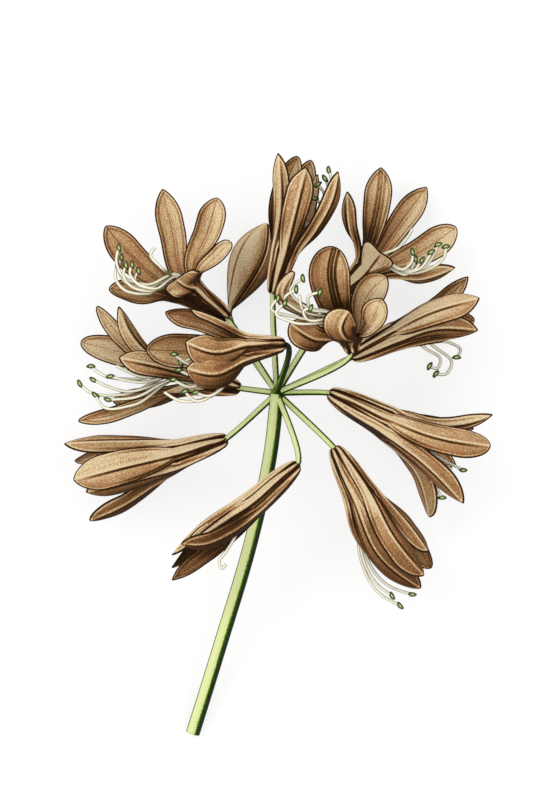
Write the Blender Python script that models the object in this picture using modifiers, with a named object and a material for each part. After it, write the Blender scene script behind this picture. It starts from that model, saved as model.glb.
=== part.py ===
"""A cut agapanthus flower head, laid down: one stalk with its umbel of eleven open blooms and two buds.

The head lies on its back on the ground (z = 0) and is seen from above. Every place below is in millimetres,
measured from the point where the flower stems meet: x to the right, y towards the head's top, and z as the
height above the ground.
"""

from typing import NamedTuple

import bmesh
import bpy
import numpy as np
from mathutils import Vector

MM = 0.001
HEAD_PLACE = (-0.44, 17.49)

# The green stalk
STALK_RADIUS = 2.35
STEM_RADIUS = 1.05
STEM_FOOT_RADIUS = 0.9
RECEPTACLE_RADIUS = 2.1
HUB = (0.0, 0.0, 30.0)
STALK_ROUTE = ((-28.2, -114.0, 2.0), (-19.3, -85.3, 9.6), (-8.2, -47.7, 19.2), (-2.0, -19.0, 26.0), HUB)
STALK_SEGMENTS = 6
STALK_SIDES = 10
STEM_SIDES = 6
STEM_STEPS = (0.0, 0.25, 0.5, 0.74, 0.95, 1.0)
STEM_REACH = 0.08
STEM_TURN_REACH = 0.14

# The petals: blades that ride as ridges on the tube and spread beyond its throat
PETAL_THICKNESS = 0.7
PETAL_COLUMNS = 4
PETAL_STEPS = (0.0, 0.35, 0.7, 0.87, 1.0)
PETAL_WIDEST = 0.7
CARRY_STEPS = 8
PETAL_TIP_HALF_WIDTH = 0.4
TUBE_BASE_RADIUS = 1.75
TUBE_SIDES = 12
TUBE_RIDGE_HALF_ANGLE = 0.46
TUBE_FOOT_HALF_ANGLE = 0.3
WHORL_STEP = 0.55
BLADE_FOOT_RISE = 0.6
BLADE_LIFT = 0.05
JOINT_GAP = 0.3
WELD = 0.0001

# The stamens and the style
FILAMENT_RADIUS = 0.6
FILAMENT_SEGMENTS = 3
FILAMENT_RING = 1.45
FILAMENT_RISE = 4.0
FILAMENT_SIDES = 3
ANTHER_LENGTH = 3.0
ANTHER_WIDTH = 1.8
DISC_RADIUS = 1.95
DISC_DEPTH = 0.9
DISC_SIDES = 8


class Petal(NamedTuple):
    """One petal: its angle round the bloom's tube, its tip, its width, and how it bends.

    Angles are in degrees, seen from the bloom's base: 0 to its right, 90 to its upper side. The blade turns its
    outer side to the angle face, when that is given. A low value of blunt keeps it wide nearly to its tip.
    """

    angle: float
    tip: tuple
    width: float
    face: float = None
    cup: float = 32.0
    bow: float = 0.09
    wave: float = 0.0
    via: tuple = ()
    blunt: float = 0.82


class Stamen(NamedTuple):
    """One filament: where it ends, the points that it passes, and how its anther lies, seen from above.

    The turn is the angle from x to the anther's long side, in degrees; without one it lies across the filament.
    """

    tip: tuple
    via: tuple = ()
    turn: float = None


class Bloom(NamedTuple):
    """An open bloom: where its tube starts and ends, with its petals in their order round it."""

    name: str
    base: tuple
    throat: tuple
    throat_radius: float
    petals: tuple
    stamens: tuple
    style: Stamen
    fill: float = 2.6


class Bud(NamedTuple):
    """A closed bud, from its base to its tip."""

    name: str
    base: tuple
    tip: tuple
    radius: float


BLOOMS = (
    Bloom(
        "top", (-1.2, 33.8, 30.0), (2.6, 47.0, 30.0), 4.0,
        (
            Petal(30, (20.2, 73.7, 34.0), 6.5, face=62, via=((12.9, 54.6, 35.0), (18.2, 64.5, 36.0))),
            Petal(90, (9.6, 75.1, 38.0), 9.2, cup=12, bow=0.1),
            Petal(150, (0.4, 79.8, 33.0), 6.4, face=112, via=((1.0, 60.0, 34.5),)),
            Petal(210, (7.0, 79.0, 23.0), 8.4, face=-100, blunt=0.6),
            Petal(270, (11.3, 77.8, 18.5), 8.4, face=-85, blunt=0.6),
            Petal(330, (13.5, 73.0, 22.0), 7.0),
        ),
        (
            Stamen((17.3, 74.2, 31.0), ((14.2, 57.2, 32.4), (18.0, 71.5, 31.5)), 105),
            Stamen((13.6, 69.5, 31.0), ((13.4, 59.2, 30.8), (15.7, 66.3, 30.6)), 35),
            Stamen((12.5, 64.9, 30.0), ((12.6, 58.4, 29.9), (14.4, 63.1, 29.6)), 172),
            Stamen((7.0, 66.0, 27.0)),
            Stamen((9.5, 68.0, 27.0)),
            Stamen((16.0, 71.5, 31.5), ((13.9, 58.2, 31.7), (17.0, 69.0, 31.0)), 128),
        ),
        Stamen((8.0, 71.0, 28.0)),
    ),
    Bloom(
        "front_left", (2.0, 16.0, 48.0), (-10.5, 14.5, 50.0), 4.8,
        (
            Petal(20, (-28.7, 27.4, 54.0), 7.6, via=((-18.0, 23.2, 54.0),)),
            Petal(75, (-30.4, 17.0, 58.0), 11.4, face=82, cup=34, via=((-20.5, 13.6, 58.5),), blunt=0.9),
            Petal(128, (-30.0, 8.2, 57.0), 12.4, face=105, cup=38, via=((-20.4, 6.4, 58.5),), blunt=0.75),
            Petal(205, (-37.3, 0.2, 45.5), 7.0, via=((-25.0, 1.6, 44.8),)),
            Petal(265, (-43.5, 14.4, 41.0), 12.0, face=-92, blunt=0.55),
            Petal(325, (-37.1, 26.7, 46.0), 8.6, face=-50, blunt=0.65),
        ),
        (
            Stamen((-32.0, 10.0, 47.0)),
            Stamen((-32.6, 7.6, 50.0), ((-29.0, 6.0, 50.0),), 0),
            Stamen((-30.5, 0.5, 51.0), ((-17.5, 3.0, 51.5), (-27.8, -2.3, 51.0)), 20),
            Stamen((-26.9, 0.2, 52.0), ((-16.5, 4.0, 52.5), (-23.0, -1.0, 52.5)), 10),
            Stamen((-34.3, 4.4, 49.0), ((-29.5, 2.0, 49.5),), 5),
            Stamen((-34.1, 12.8, 51.0), ((-29.0, 9.5, 50.0),), 0),
        ),
        Stamen((-37.4, 0.3, 50.0), ((-18.6, 1.2, 50.9), (-33.0, -2.3, 50.0))),
    ),
    Bloom(
        "upper_left", (-17.0, 25.3, 30.0), (-30.0, 35.2, 35.0), 5.4,
        (
            Petal(25, (-15.6, 50.4, 36.0), 5.8, face=-72, blunt=0.4),
            Petal(
                78, (-33.2, 38.0, 46.0), 14.4, face=125, cup=14, via=((-30.2, 35.8, 43.6),),
                blunt=0.25,
            ),
            Petal(
                165, (-55.9, 34.9, 36.0), 8.6, face=-122, via=((-43.6, 32.2, 36.6),), wave=0.5,
                blunt=0.6,
            ),
            Petal(225, (-57.2, 55.7, 24.0), 10.8, face=-95, blunt=0.7),
            Petal(280, (-38.3, 68.2, 15.0), 9.4, face=-90),
            Petal(330, (-20.0, 65.3, 16.0), 9.8, face=-85, blunt=0.75),
        ),
        (
            Stamen(
                (-52.5, 48.2, 45.0), ((-43.6, 36.0, 42.4), (-51.4, 39.0, 44.2), (-53.4, 44.0, 45.0)),
                100,
            ),
            Stamen(
                (-48.1, 42.6, 46.4), ((-41.0, 34.6, 44.6), (-47.0, 36.8, 45.8), (-48.9, 39.8, 46.2)),
                95,
            ),
            Stamen(
                (-46.0, 40.6, 44.2), ((-40.2, 34.4, 42.4), (-45.6, 35.4, 43.4), (-47.2, 37.9, 43.8)),
                105,
            ),
            Stamen(
                (-50.1, 42.4, 45.4), ((-42.0, 33.8, 43.2), (-48.6, 35.6, 44.6), (-51.0, 39.0, 45.2)),
                98,
            ),
            Stamen(
                (-53.0, 42.2, 43.5), ((-43.0, 33.0, 41.4), (-51.4, 34.8, 42.6), (-53.8, 38.6, 43.2)),
                92,
            ),
            Stamen(
                (-51.6, 45.0, 42.0), ((-43.5, 34.9, 39.6), (-51.0, 37.4, 41.0), (-52.6, 41.4, 41.6)),
                95,
            ),
        ),
        Stamen((-40.6, 48.3, 42.0), ((-38.6, 41.8, 41.4), (-42.0, 46.2, 42.0))),
        2.0,
    ),
    Bloom(
        "left", (-13.0, 1.7, 26.0), (-27.5, 4.6, 24.5), 4.6,
        (
            Petal(
                20, (-52.8, 28.8, 27.0), 6.4, face=84, cup=58,
                via=((-43.5, 13.2, 26.5), (-48.8, 19.2, 27.0)),
            ),
            Petal(75, (-52.7, 11.7, 34.0), 8.8),
            Petal(
                165, (-66.4, -9.3, 19.5), 5.4, face=-98,
                via=((-46.6, -4.6, 22.4), (-57.0, -7.8, 21.0)), blunt=0.6,
            ),
            Petal(225, (-54.8, -2.6, 19.0), 8.0, face=-115, blunt=0.6),
            Petal(280, (-65.6, 17.0, 11.0), 9.8, face=-90, blunt=0.45),
            Petal(
                330, (-60.2, 29.0, 18.0), 6.0, face=-75,
                via=((-43.6, 12.0, 18.5), (-52.8, 19.6, 18.5)), blunt=0.6,
            ),
        ),
        (
            Stamen((-62.1, 8.9, 25.0), ((-48.0, 4.6, 26.0), (-58.1, 6.0, 25.0)), 0),
            Stamen((-55.6, 5.5, 27.0), ((-45.0, 3.6, 27.0),), 10),
            Stamen((-56.4, -2.2, 27.0), ((-48.0, -1.6, 27.0),), 165),
            Stamen((-61.3, 4.4, 24.0), ((-51.2, 0.6, 25.0),), 150),
            Stamen((-60.6, -0.7, 24.0), ((-48.0, -4.0, 26.0), (-58.0, -4.6, 25.5)), 140),
            Stamen((-65.8, 3.1, 23.0), ((-52.0, -0.6, 24.0), (-62.9, 0.5, 23.0)), 120),
        ),
        Stamen((-53.6, 9.1, 27.0), ((-45.7, 5.6, 27.0),)),
        1.5,
    ),
    Bloom(
        "lower_left", (-17.5, -15.5, 26.0), (-33.0, -20.4, 21.5), 4.6,
        (
            Petal(
                25, (-71.1, -17.1, 14.0), 7.6, face=52,
                via=((-46.0, -16.4, 20.8), (-58.0, -16.5, 17.6)),
            ),
            Petal(85, (-67.8, -28.9, 24.0), 12.4, bow=0.1, blunt=0.62),
            Petal(145, (-63.8, -33.0, 20.0), 9.6, face=122, via=((-49.0, -29.4, 21.8),)),
            Petal(
                205, (-62.7, -42.6, 9.0), 7.6, face=132,
                via=((-41.0, -30.6, 15.0), (-51.0, -37.2, 11.5)), blunt=0.55,
            ),
            Petal(265, (-64.0, -30.0, 0.2), 9.0),
            Petal(325, (-67.6, -22.9, 9.0), 8.0, blunt=0.5),
        ),
        (
            Stamen((-58.0, -24.0, 15.0)),
            Stamen((-57.0, -27.0, 15.0)),
            Stamen((-55.0, -29.0, 13.0)),
            Stamen((-57.0, -27.0, 10.0)),
            Stamen((-58.0, -24.5, 10.0)),
            Stamen((-60.0, -22.0, 12.0)),
        ),
        Stamen((-61.0, -26.5, 12.5)),
    ),
    Bloom(
        "bottom", (6.5, -24.2, 40.0), (-8.2, -37.2, 41.3), 4.0,
        (
            Petal(25, (-34.8, -53.9, 41.0), 6.6, bow=0.04),
            Petal(80, (-30.5, -51.5, 44.5), 6.6, bow=0.04),
            Petal(
                132, (-31.7, -49.9, 48.0), 7.4, via=((-16.0, -46.6, 48.2), (-24.4, -50.0, 49.2)),
                blunt=0.7,
            ),
            Petal(208, (-34.9, -62.2, 40.0), 7.2, face=-128, via=((-20.0, -51.6, 39.6),)),
            Petal(265, (-32.2, -59.9, 35.0), 7.0, bow=0.04),
            Petal(325, (-34.9, -58.2, 36.0), 7.0, bow=0.04),
        ),
        (
            Stamen((-20.5, -46.5, 40.9)),
            Stamen((-19.5, -45.5, 42.2)),
            Stamen((-21.5, -48.0, 40.6)),
            Stamen((-19.0, -47.4, 41.2)),
            Stamen((-20.0, -48.6, 40.6)),
            Stamen((-21.5, -46.0, 40.0)),
        ),
        Stamen(
            (-16.9, -56.9, 43.2),
            ((-13.4, -46.6, 43.0), (-17.0, -52.8, 43.6), (-19.2, -56.0, 43.6), (-18.5, -58.4, 43.2)),
        ),
    ),
    Bloom(
        "lower_right", (19.4, -18.8, 28.0), (28.0, -34.6, 27.0), 5.1,
        (
            Petal(8, (30.8, -54.5, 23.0), 7.0, via=((25.0, -45.4, 27.0),)),
            Petal(68, (47.9, -65.0, 27.0), 9.6, via=((33.8, -53.2, 31.5),), blunt=0.65),
            Petal(120, (48.8, -60.8, 31.0), 9.6, via=((39.2, -49.3, 35.0),), blunt=0.65),
            Petal(175, (50.2, -53.0, 26.0), 8.6, face=135, bow=0.05, blunt=0.65),
            Petal(235, (51.4, -58.5, 15.0), 9.0, blunt=0.45),
            Petal(288, (38.0, -58.0, 11.0), 12.0),
        ),
        (
            Stamen(
                (41.2, -71.1, 15.0), ((27.4, -45.4, 21.2), (27.8, -54.4, 16.8), (33.6, -66.4, 15.0)),
                130,
            ),
            Stamen((43.0, -57.0, 21.0)),
            Stamen((40.0, -55.0, 23.5)),
            Stamen((44.0, -53.0, 20.0)),
            Stamen(
                (45.2, -67.3, 15.5), ((30.0, -45.0, 21.4), (29.6, -53.6, 17.4), (36.4, -63.8, 15.4)),
                172,
            ),
            Stamen(
                (38.5, -67.8, 17.0), ((28.8, -43.6, 22.2), (28.2, -52.8, 18.4), (33.6, -64.0, 17.0)),
                118,
            ),
        ),
        Stamen((43.0, -51.0, 18.0)),
    ),
    Bloom(
        "right", (18.0, -0.2, 26.0), (36.4, -9.8, 24.0), 4.8,
        (
            Petal(52, (62.3, -36.7, 25.0), 9.0, via=((51.3, -25.2, 28.8),)),
            Petal(108, (71.1, -17.6, 28.0), 10.6, via=((52.0, -14.2, 31.0),), blunt=0.45),
            Petal(170, (71.9, -7.2, 23.0), 5.2, face=72, via=((51.5, -10.4, 25.0), (62.5, -10.0, 24.4))),
            Petal(230, (65.8, -12.0, 12.0), 7.0, bow=0.02),
            Petal(290, (60.0, -24.0, 0.2), 9.0),
            Petal(345, (51.1, -41.4, 12.0), 9.4, face=40, via=((47.2, -27.4, 18.0),), blunt=0.5),
        ),
        (
            Stamen((55.2, -35.0, 16.0), ((49.0, -25.0, 19.0),), 0),
            Stamen((62.1, -25.7, 20.0), ((50.8, -19.7, 21.6),), 172),
            Stamen((53.5, -18.5, 17.0)),
            Stamen((52.0, -17.0, 15.0)),
            Stamen((55.0, -23.0, 13.0)),
            Stamen((54.0, -26.0, 14.0)),
        ),
        Stamen((58.5, -25.5, 19.0), ((49.6, -20.5, 20.4),)),
    ),
    Bloom(
        "right_upper", (25.7, 12.3, 24.0), (39.0, 18.6, 22.0), 3.9,
        (
            Petal(20, (62.5, 19.2, 21.0), 6.8, via=((51.5, 17.4, 24.0),)),
            Petal(70, (67.0, 21.0, 25.0), 8.0, via=((53.0, 21.6, 28.0),)),
            Petal(120, (67.5, 31.6, 26.0), 10.6, face=118, cup=40, via=((50.0, 26.6, 29.5),)),
            Petal(185, (63.9, 38.9, 14.0), 6.6, face=-78, via=((50.0, 26.6, 17.5), (57.4, 32.0, 16.0))),
            Petal(245, (66.3, 24.4, 0.2), 8.5, blunt=0.55),
            Petal(328, (57.2, 18.4, 15.5), 7.0, bow=0.04),
        ),
        (
            Stamen(
                (51.1, 9.0, 11.0),
                ((45.0, 18.6, 13.6), (50.2, 14.6, 8.6), (54.8, 11.2, 8.6), (53.6, 8.2, 9.8)), 60,
            ),
            Stamen((53.5, 21.5, 20.0)),
            Stamen((52.0, 22.4, 20.6)),
            Stamen((52.5, 20.6, 18.6)),
            Stamen(
                (53.2, 6.4, 10.0),
                ((47.0, 19.4, 12.6), (53.4, 15.0, 7.0), (58.6, 10.2, 7.0), (56.6, 6.4, 8.4)), 50,
            ),
            Stamen(
                (60.1, 11.9, 13.0),
                ((44.5, 20.0, 15.2), (49.5, 17.2, 10.2), (57.4, 17.0, 9.4), (61.4, 14.6, 10.8)), 0,
            ),
        ),
        Stamen((55.5, 21.8, 19.0)),
    ),
    Bloom(
        "centre", (24.9, 13.9, 44.0), (24.0, 18.8, 45.5), 4.0,
        (
            Petal(20, (34.6, 31.2, 55.0), 9.8, face=-70, cup=30, via=((30.6, 22.2, 52.0),), blunt=0.55),
            Petal(
                82, (23.6, 27.4, 58.0), 12.0, cup=30, via=((22.4, 18.4, 53.5), (21.0, 21.6, 57.0)),
                blunt=0.6,
            ),
            Petal(140, (4.4, 23.2, 54.0), 10.4, face=80, via=((12.4, 18.0, 53.2),), wave=0.6, blunt=0.55),
            Petal(
                200, (5.5, 40.3, 52.0), 5.0, face=80, via=((9.6, 26.6, 46.5), (1.8, 32.4, 50.0)),
                blunt=0.4,
            ),
            Petal(
                265, (19.0, 48.4, 52.0), 14.2, face=-90, cup=26,
                via=((18.8, 31.0, 48.5), (17.4, 41.0, 51.0)), blunt=0.46,
            ),
            Petal(
                325, (36.3, 38.6, 52.0), 11.0, face=-88, via=((30.0, 32.0, 47.5),), wave=0.3,
                blunt=0.5,
            ),
        ),
        (
            Stamen((14.2, 33.3, 57.0), ((18.0, 26.6, 52.8), (10.6, 28.4, 55.6), (10.4, 31.8, 56.6)), 75),
            Stamen((11.2, 28.0, 59.0), ((17.4, 24.4, 53.8), (9.6, 24.8, 57.6), (8.8, 27.2, 58.6)), 72),
            Stamen((2.6, 29.7, 57.4), ((17.0, 23.2, 52.2), (4.6, 23.6, 56.8), (-0.4, 26.4, 57.4)), 62),
            Stamen((0.4, 31.4, 54.6), ((16.0, 23.6, 50.8), (6.0, 25.2, 53.6), (-1.9, 28.2, 54.6)), 85),
            Stamen((6.4, 34.3, 57.0), ((15.8, 25.4, 49.6), (7.6, 27.0, 53.2), (2.6, 31.6, 56.4)), 88),
            Stamen((8.6, 38.0, 54.6), ((16.8, 27.0, 50.2), (8.6, 29.0, 52.0), (4.4, 34.2, 53.6)), 100),
        ),
        Stamen((7.5, 32.4, 58.6), ((16.6, 25.2, 51.4), (8.4, 27.8, 57.0))),
        1.5,
    ),
    Bloom(
        "upper_right", (19.7, 32.0, 18.0), (31.0, 42.6, 24.0), 5.0,
        (
            Petal(5, (59.4, 42.0, 22.0), 7.0, face=45, wave=0.4),
            Petal(88, (34.2, 47.0, 36.0), 12.6, cup=30, bow=0.02, blunt=0.3),
            Petal(165, (23.5, 67.1, 27.0), 5.2, face=110, via=((24.4, 55.0, 29.0),)),
            Petal(215, (34.8, 75.5, 12.0), 9.8, face=-83, via=((31.6, 55.0, 17.0), (33.6, 64.0, 14.5))),
            Petal(265, (50.2, 69.0, 4.0), 9.2, face=-90),
            Petal(315, (60.0, 55.6, 10.0), 10.6, face=-90, blunt=0.65),
        ),
        (
            Stamen((48.3, 44.2, 31.0), ((38.6, 42.2, 28.6), (44.6, 40.2, 30.2)), 60),
            Stamen((45.2, 46.9, 32.6), ((37.8, 43.0, 30.2), (42.2, 41.2, 31.6), (44.8, 43.6, 32.2)), 105),
            Stamen((46.3, 44.5, 29.4), ((37.8, 41.8, 28.0), (43.2, 39.6, 29.2)), 95),
            Stamen((51.4, 46.9, 31.0), ((39.8, 41.4, 29.6), (47.2, 41.2, 30.6)), 35),
            Stamen((56.3, 48.8, 28.2), ((39.6, 40.6, 27.4), (50.4, 41.2, 28.0), (55.8, 45.5, 28.2)), 12),
            Stamen((53.7, 49.4, 29.4), ((39.4, 41.2, 28.2), (48.9, 41.8, 29.2)), 25),
        ),
        Stamen((45.2, 54.8, 28.0), ((40.6, 48.6, 26.8),)),
        1.5,
    ),
)

BUDS = (
    Bud("upper_left", (-15.8, 27.8, 8.1), (-3.2, 57.3, 4.1), 7.0),
    Bud("centre", (10.5, 16.5, 28.0), (19.0, 23.6, 30.0), 2.6),
)
BUD_LOBE = 0.13
BUD_LOBE_TURN = -0.524
BUD_LEAN = 1.35
BUD_NECK = 0.27
BUD_SEGMENTS = 12
BUD_RINGS = 8

SHADES = {
    "stem": ("stem_green", (0.45, 0.58, 0.22, 1.0), 0.55),
    "petal": ("petal_brown", (0.33, 0.17, 0.09, 1.0), 0.6),
    "stamen": ("stamen_cream", (0.78, 0.74, 0.52, 1.0), 0.5),
}


def unit(vector):
    """The vector at length one."""
    vector = np.asarray(vector, float)
    return vector / np.linalg.norm(vector)


def clear_scene():
    """Removes every object of the scene."""
    for thing in list(bpy.data.objects):
        bpy.data.objects.remove(thing, do_unlink=True)


def make_material(shade):
    """A Principled material by its key in SHADES."""
    name, colour, roughness = SHADES[shade]
    material = bpy.data.materials.get(name)
    if material is None:
        material = bpy.data.materials.new(name)
        material.use_nodes = True
        surface = material.node_tree.nodes["Principled BSDF"]
        surface.inputs["Base Color"].default_value = colour
        surface.inputs["Roughness"].default_value = roughness
    return material


def add_object(name, mesh, home):
    """A new object that wears the mesh, in a collection."""
    thing = bpy.data.objects.new(name, mesh)
    home.objects.link(thing)
    return thing


def mesh_from(name, build):
    """A mesh, in metres, that build fills in millimetres."""
    shape = bmesh.new()
    build(shape)
    bmesh.ops.scale(shape, vec=Vector((MM, MM, MM)), verts=shape.verts)
    mesh = bpy.data.meshes.new(name)
    shape.to_mesh(mesh)
    shape.free()
    return mesh


def smooth_path(points, fractions):
    """Points on a smooth curve through the given ones, at fractions of its length.

    Each stretch is a cubic Hermite curve, whose slopes at the given points weigh both neighbours by their
    distance.
    """
    given = np.array(points, float)
    gaps = np.linalg.norm(np.diff(given, axis=0), axis=1)
    knots = np.concatenate(([0.0], np.cumsum(gaps)))
    slope = np.diff(given, axis=0) / gaps[:, None]
    tangent = np.empty_like(given)
    before, after = gaps[:-1, None], gaps[1:, None]
    tangent[1:-1] = (slope[:-1] * after + slope[1:] * before) / (before + after)
    tangent[0] = slope[0] if len(gaps) == 1 else (3 * slope[0] - tangent[1]) / 2
    tangent[-1] = slope[-1] if len(gaps) == 1 else (3 * slope[-1] - tangent[-2]) / 2
    place = np.asarray(fractions, float) * knots[-1]
    stretch = np.clip(np.searchsorted(knots, place, side="right") - 1, 0, len(gaps) - 1)
    size = gaps[stretch][:, None]
    t = (place - knots[stretch])[:, None] / size
    return (
        (1 + 2 * t) * (1 - t) ** 2 * given[stretch]
        + t * (1 - t) ** 2 * size * tangent[stretch]
        + t**2 * (3 - 2 * t) * given[stretch + 1]
        + t**2 * (t - 1) * size * tangent[stretch + 1]
    )


def carried_normals(path, first):
    """The first normal carried along a path with no twist, with the path's tangents."""
    tangents = np.gradient(path, axis=0)
    tangents /= np.linalg.norm(tangents, axis=1, keepdims=True)
    normals = np.empty_like(path)
    normal = first
    for i, tangent in enumerate(tangents):
        normal = unit(normal - tangent * np.dot(normal, tangent))
        normals[i] = normal
    return tangents, normals


def bloom_axes(bloom):
    """The bloom's axis, and the two directions across it: to its right, and to its upper side."""
    axis = unit(np.subtract(bloom.throat, bloom.base))
    right = unit(np.cross(axis, (0.0, 0.0, 1.0)))
    return axis, right, np.cross(right, axis)


def petal_midline(bloom, petal, whorl):
    """The points that a petal's midline passes, and its outward direction at the tube."""
    axis, right, upper = bloom_axes(bloom)
    turn = np.radians(petal.angle)
    out = right * np.cos(turn) + upper * np.sin(turn)
    foot = np.array(bloom.base) + axis * BLADE_FOOT_RISE + out * (TUBE_BASE_RADIUS + BLADE_LIFT)
    lip = np.array(bloom.throat) + out * (bloom.throat_radius + BLADE_LIFT)
    tip = np.array(petal.tip)
    bulge = petal.bow * np.linalg.norm(tip - lip) + whorl * WHORL_STEP
    middle = petal.via or (lip + 0.5 * (tip - lip) + out * bulge,)
    return (foot, lip, *middle, tip), out


def turned_to(face, tangents, normals):
    """The angle, at each row, from the carried normals to where a blade's outer side should face."""
    right = np.cross(tangents, (0.0, 0.0, 1.0))
    right /= np.linalg.norm(right, axis=1, keepdims=True)
    upper = np.cross(right, tangents)
    aim = right * np.cos(np.radians(face)) + upper * np.sin(np.radians(face))
    sides = np.cross(tangents, normals)
    return np.arctan2((aim * sides).sum(axis=1), (aim * normals).sum(axis=1))


def petal_sheet(bloom, petal, whorl, steps, columns):
    """A petal's middle surface as a grid of points, rows from its foot to its tip.

    Along the blade, with u from 0 at the throat to 1 at the tip, the half width grows to its full size at
    PETAL_WIDEST and closes to the tip. Each row is an arc of half angle cup round the petal's inner side.
    """
    points, out = petal_midline(bloom, petal, whorl)
    lengths = np.linalg.norm(np.diff(points, axis=0), axis=1)
    throat = lengths[0] / lengths.sum()
    u = np.concatenate(([0.0], steps))
    fractions = np.concatenate(([0.0], throat + (1.0 - throat) * np.asarray(steps)))
    knots = np.arange(len(fractions))
    fine = np.interp(np.linspace(0.0, knots[-1], knots[-1] * CARRY_STEPS + 1), knots, fractions)
    path = smooth_path(points, fine)
    tangents, normals = carried_normals(path, out)
    path, tangents, normals = path[::CARRY_STEPS], tangents[::CARRY_STEPS], normals[::CARRY_STEPS]
    opening = 1.0 - (1.0 - np.clip(u / PETAL_WIDEST, 0.0, 1.0)) ** bloom.fill
    closing = np.clip((u - PETAL_WIDEST) / (1.0 - PETAL_WIDEST), 0.0, 1.0)
    lip_half = bloom.throat_radius * TUBE_RIDGE_HALF_ANGLE
    half = (lip_half + (petal.width / 2 - lip_half) * opening) * (1 - closing**2) ** petal.blunt
    half = np.maximum(half, PETAL_TIP_HALF_WIDTH)
    half[0] = TUBE_BASE_RADIUS * TUBE_FOOT_HALF_ANGLE
    cup = TUBE_RIDGE_HALF_ANGLE + (np.radians(petal.cup) - TUBE_RIDGE_HALF_ANGLE) * opening
    if petal.face is not None:
        lean = (turned_to(petal.face, tangents, normals) * opening)[:, None]
        normals = normals * np.cos(lean) + np.cross(tangents, normals) * np.sin(lean)
    sides = np.cross(tangents, normals)
    across = np.linspace(-1.0, 1.0, columns)[None, :]
    swing = cup[:, None] * across
    radius = (half / cup)[:, None]
    depth = radius * (1 - np.cos(swing))
    depth += petal.wave * across**2 * np.sin(3.0 * np.pi * u)[:, None]
    return (
        path[:, None, :]
        + sides[:, None, :] * (radius * np.sin(swing))[:, :, None]
        - normals[:, None, :] * depth[:, :, None]
    )


def grid_mesh(name, sheet):
    """An open, triangulated mesh of a grid of points, facing along rows across columns."""
    rows, columns = sheet.shape[:2]

    def build(shape):
        corners = [[shape.verts.new(point) for point in row] for row in sheet]
        for i in range(rows - 1):
            row, above = corners[i], corners[i + 1]
            for j in range(columns - 1):
                shape.faces.new((row[j], row[j + 1], above[j + 1], above[j]))
        bmesh.ops.triangulate(shape, faces=shape.faces)

    return mesh_from(name, build)


def baked(thing, name, home):
    """The object's evaluated shape as a plain object, which replaces it."""
    bpy.context.view_layer.update()
    evaluated = thing.evaluated_get(bpy.context.evaluated_depsgraph_get())
    mesh = bpy.data.meshes.new_from_object(evaluated)
    mesh.name = name
    result = add_object(name, mesh, home)
    result.matrix_world = thing.matrix_world
    bpy.data.objects.remove(thing, do_unlink=True)
    return result


def triangulate(mesh):
    """Drops the points that only two edges meet, and cuts the faces to triangles."""
    shape = bmesh.new()
    shape.from_mesh(mesh)
    bmesh.ops.dissolve_verts(shape, verts=[vert for vert in shape.verts if len(vert.link_edges) == 2])
    bmesh.ops.triangulate(shape, faces=shape.faces, ngon_method="BEAUTY")
    shape.to_mesh(mesh)
    shape.free()


def joined(name, body, additions, home, shade):
    """The body with every object of a collection united to it, as one object of the given shade."""
    union = body.modifiers.new("union", "BOOLEAN")
    union.operation = "UNION"
    union.operand_type = "COLLECTION"
    union.collection = additions
    union.solver = "MANIFOLD"
    result = baked(body, name, home)
    for piece in list(additions.objects):
        bpy.data.objects.remove(piece, do_unlink=True)
    mesh = result.data
    triangulate(mesh)
    mesh.materials.clear()
    mesh.materials.append(make_material(shade))
    mesh.shade_smooth()
    mesh.set_sharp_from_angle(angle=np.radians(40))
    return result


def add_section(sides, guides):
    """A regular outline of radius 1 mm, the section of the tubes that are drawn along a path with it."""
    curve = bpy.data.curves.new(f"section_{sides}", "CURVE")
    curve.dimensions = "2D"
    spline = curve.splines.new("POLY")
    spline.points.add(sides - 1)
    spline.use_cyclic_u = True
    for i, point in enumerate(spline.points):
        turn = 2 * np.pi * i / sides
        point.co = (MM * np.cos(turn), -MM * np.sin(turn), 0.0, 1.0)
    return add_object(f"section_{sides}", curve, guides)


def add_tube(name, path, radii, section, home):
    """A tube of the given section along a path, with its end caps welded on."""
    curve = bpy.data.curves.new(name, "CURVE")
    curve.dimensions = "3D"
    curve.bevel_mode = "OBJECT"
    curve.bevel_object = section
    curve.use_fill_caps = True
    spline = curve.splines.new("POLY")
    spline.points.add(len(path) - 1)
    for point, place, radius in zip(spline.points, path, radii):
        point.co = (*(np.asarray(place) * MM), 1.0)
        point.radius = radius
    tube = baked(add_object(name, curve, home), name, home)
    shape = bmesh.new()
    shape.from_mesh(tube.data)
    bmesh.ops.remove_doubles(shape, verts=shape.verts, dist=WELD * MM)
    shape.to_mesh(tube.data)
    shape.free()
    return tube


def add_tube_core(bloom, home):
    """The solid tube of a bloom, from its base to its throat."""
    axis, _, _ = bloom_axes(bloom)
    length = np.linalg.norm(np.subtract(bloom.throat, bloom.base))

    def build(shape):
        bmesh.ops.create_cone(
            shape, cap_ends=True, segments=TUBE_SIDES, depth=length,
            radius1=TUBE_BASE_RADIUS, radius2=bloom.throat_radius,
        )
        turn = Vector((0.0, 0.0, 1.0)).rotation_difference(Vector(axis)).to_matrix()
        bmesh.ops.rotate(shape, verts=shape.verts, matrix=turn)
        bmesh.ops.translate(shape, verts=shape.verts, vec=Vector(np.add(bloom.base, bloom.throat) / 2))

    return add_object("tube", mesh_from("tube", build), home)


def add_petals(bloom, home, spare):
    """A bloom's six petals, grown together at its tube."""
    body = add_tube_core(bloom, home)
    for i, petal in enumerate(bloom.petals):
        whorl = 1 if i % 2 == 0 else -1
        sheet = petal_sheet(bloom, petal, whorl, PETAL_STEPS, PETAL_COLUMNS)
        blade = add_object("blade", grid_mesh("blade", sheet), spare)
        skin = blade.modifiers.new("skin", "SOLIDIFY")
        skin.thickness = PETAL_THICKNESS * MM
        skin.offset = 0.0
    return joined(f"petals_{bloom.name}", body, spare, home, "petal")


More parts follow.
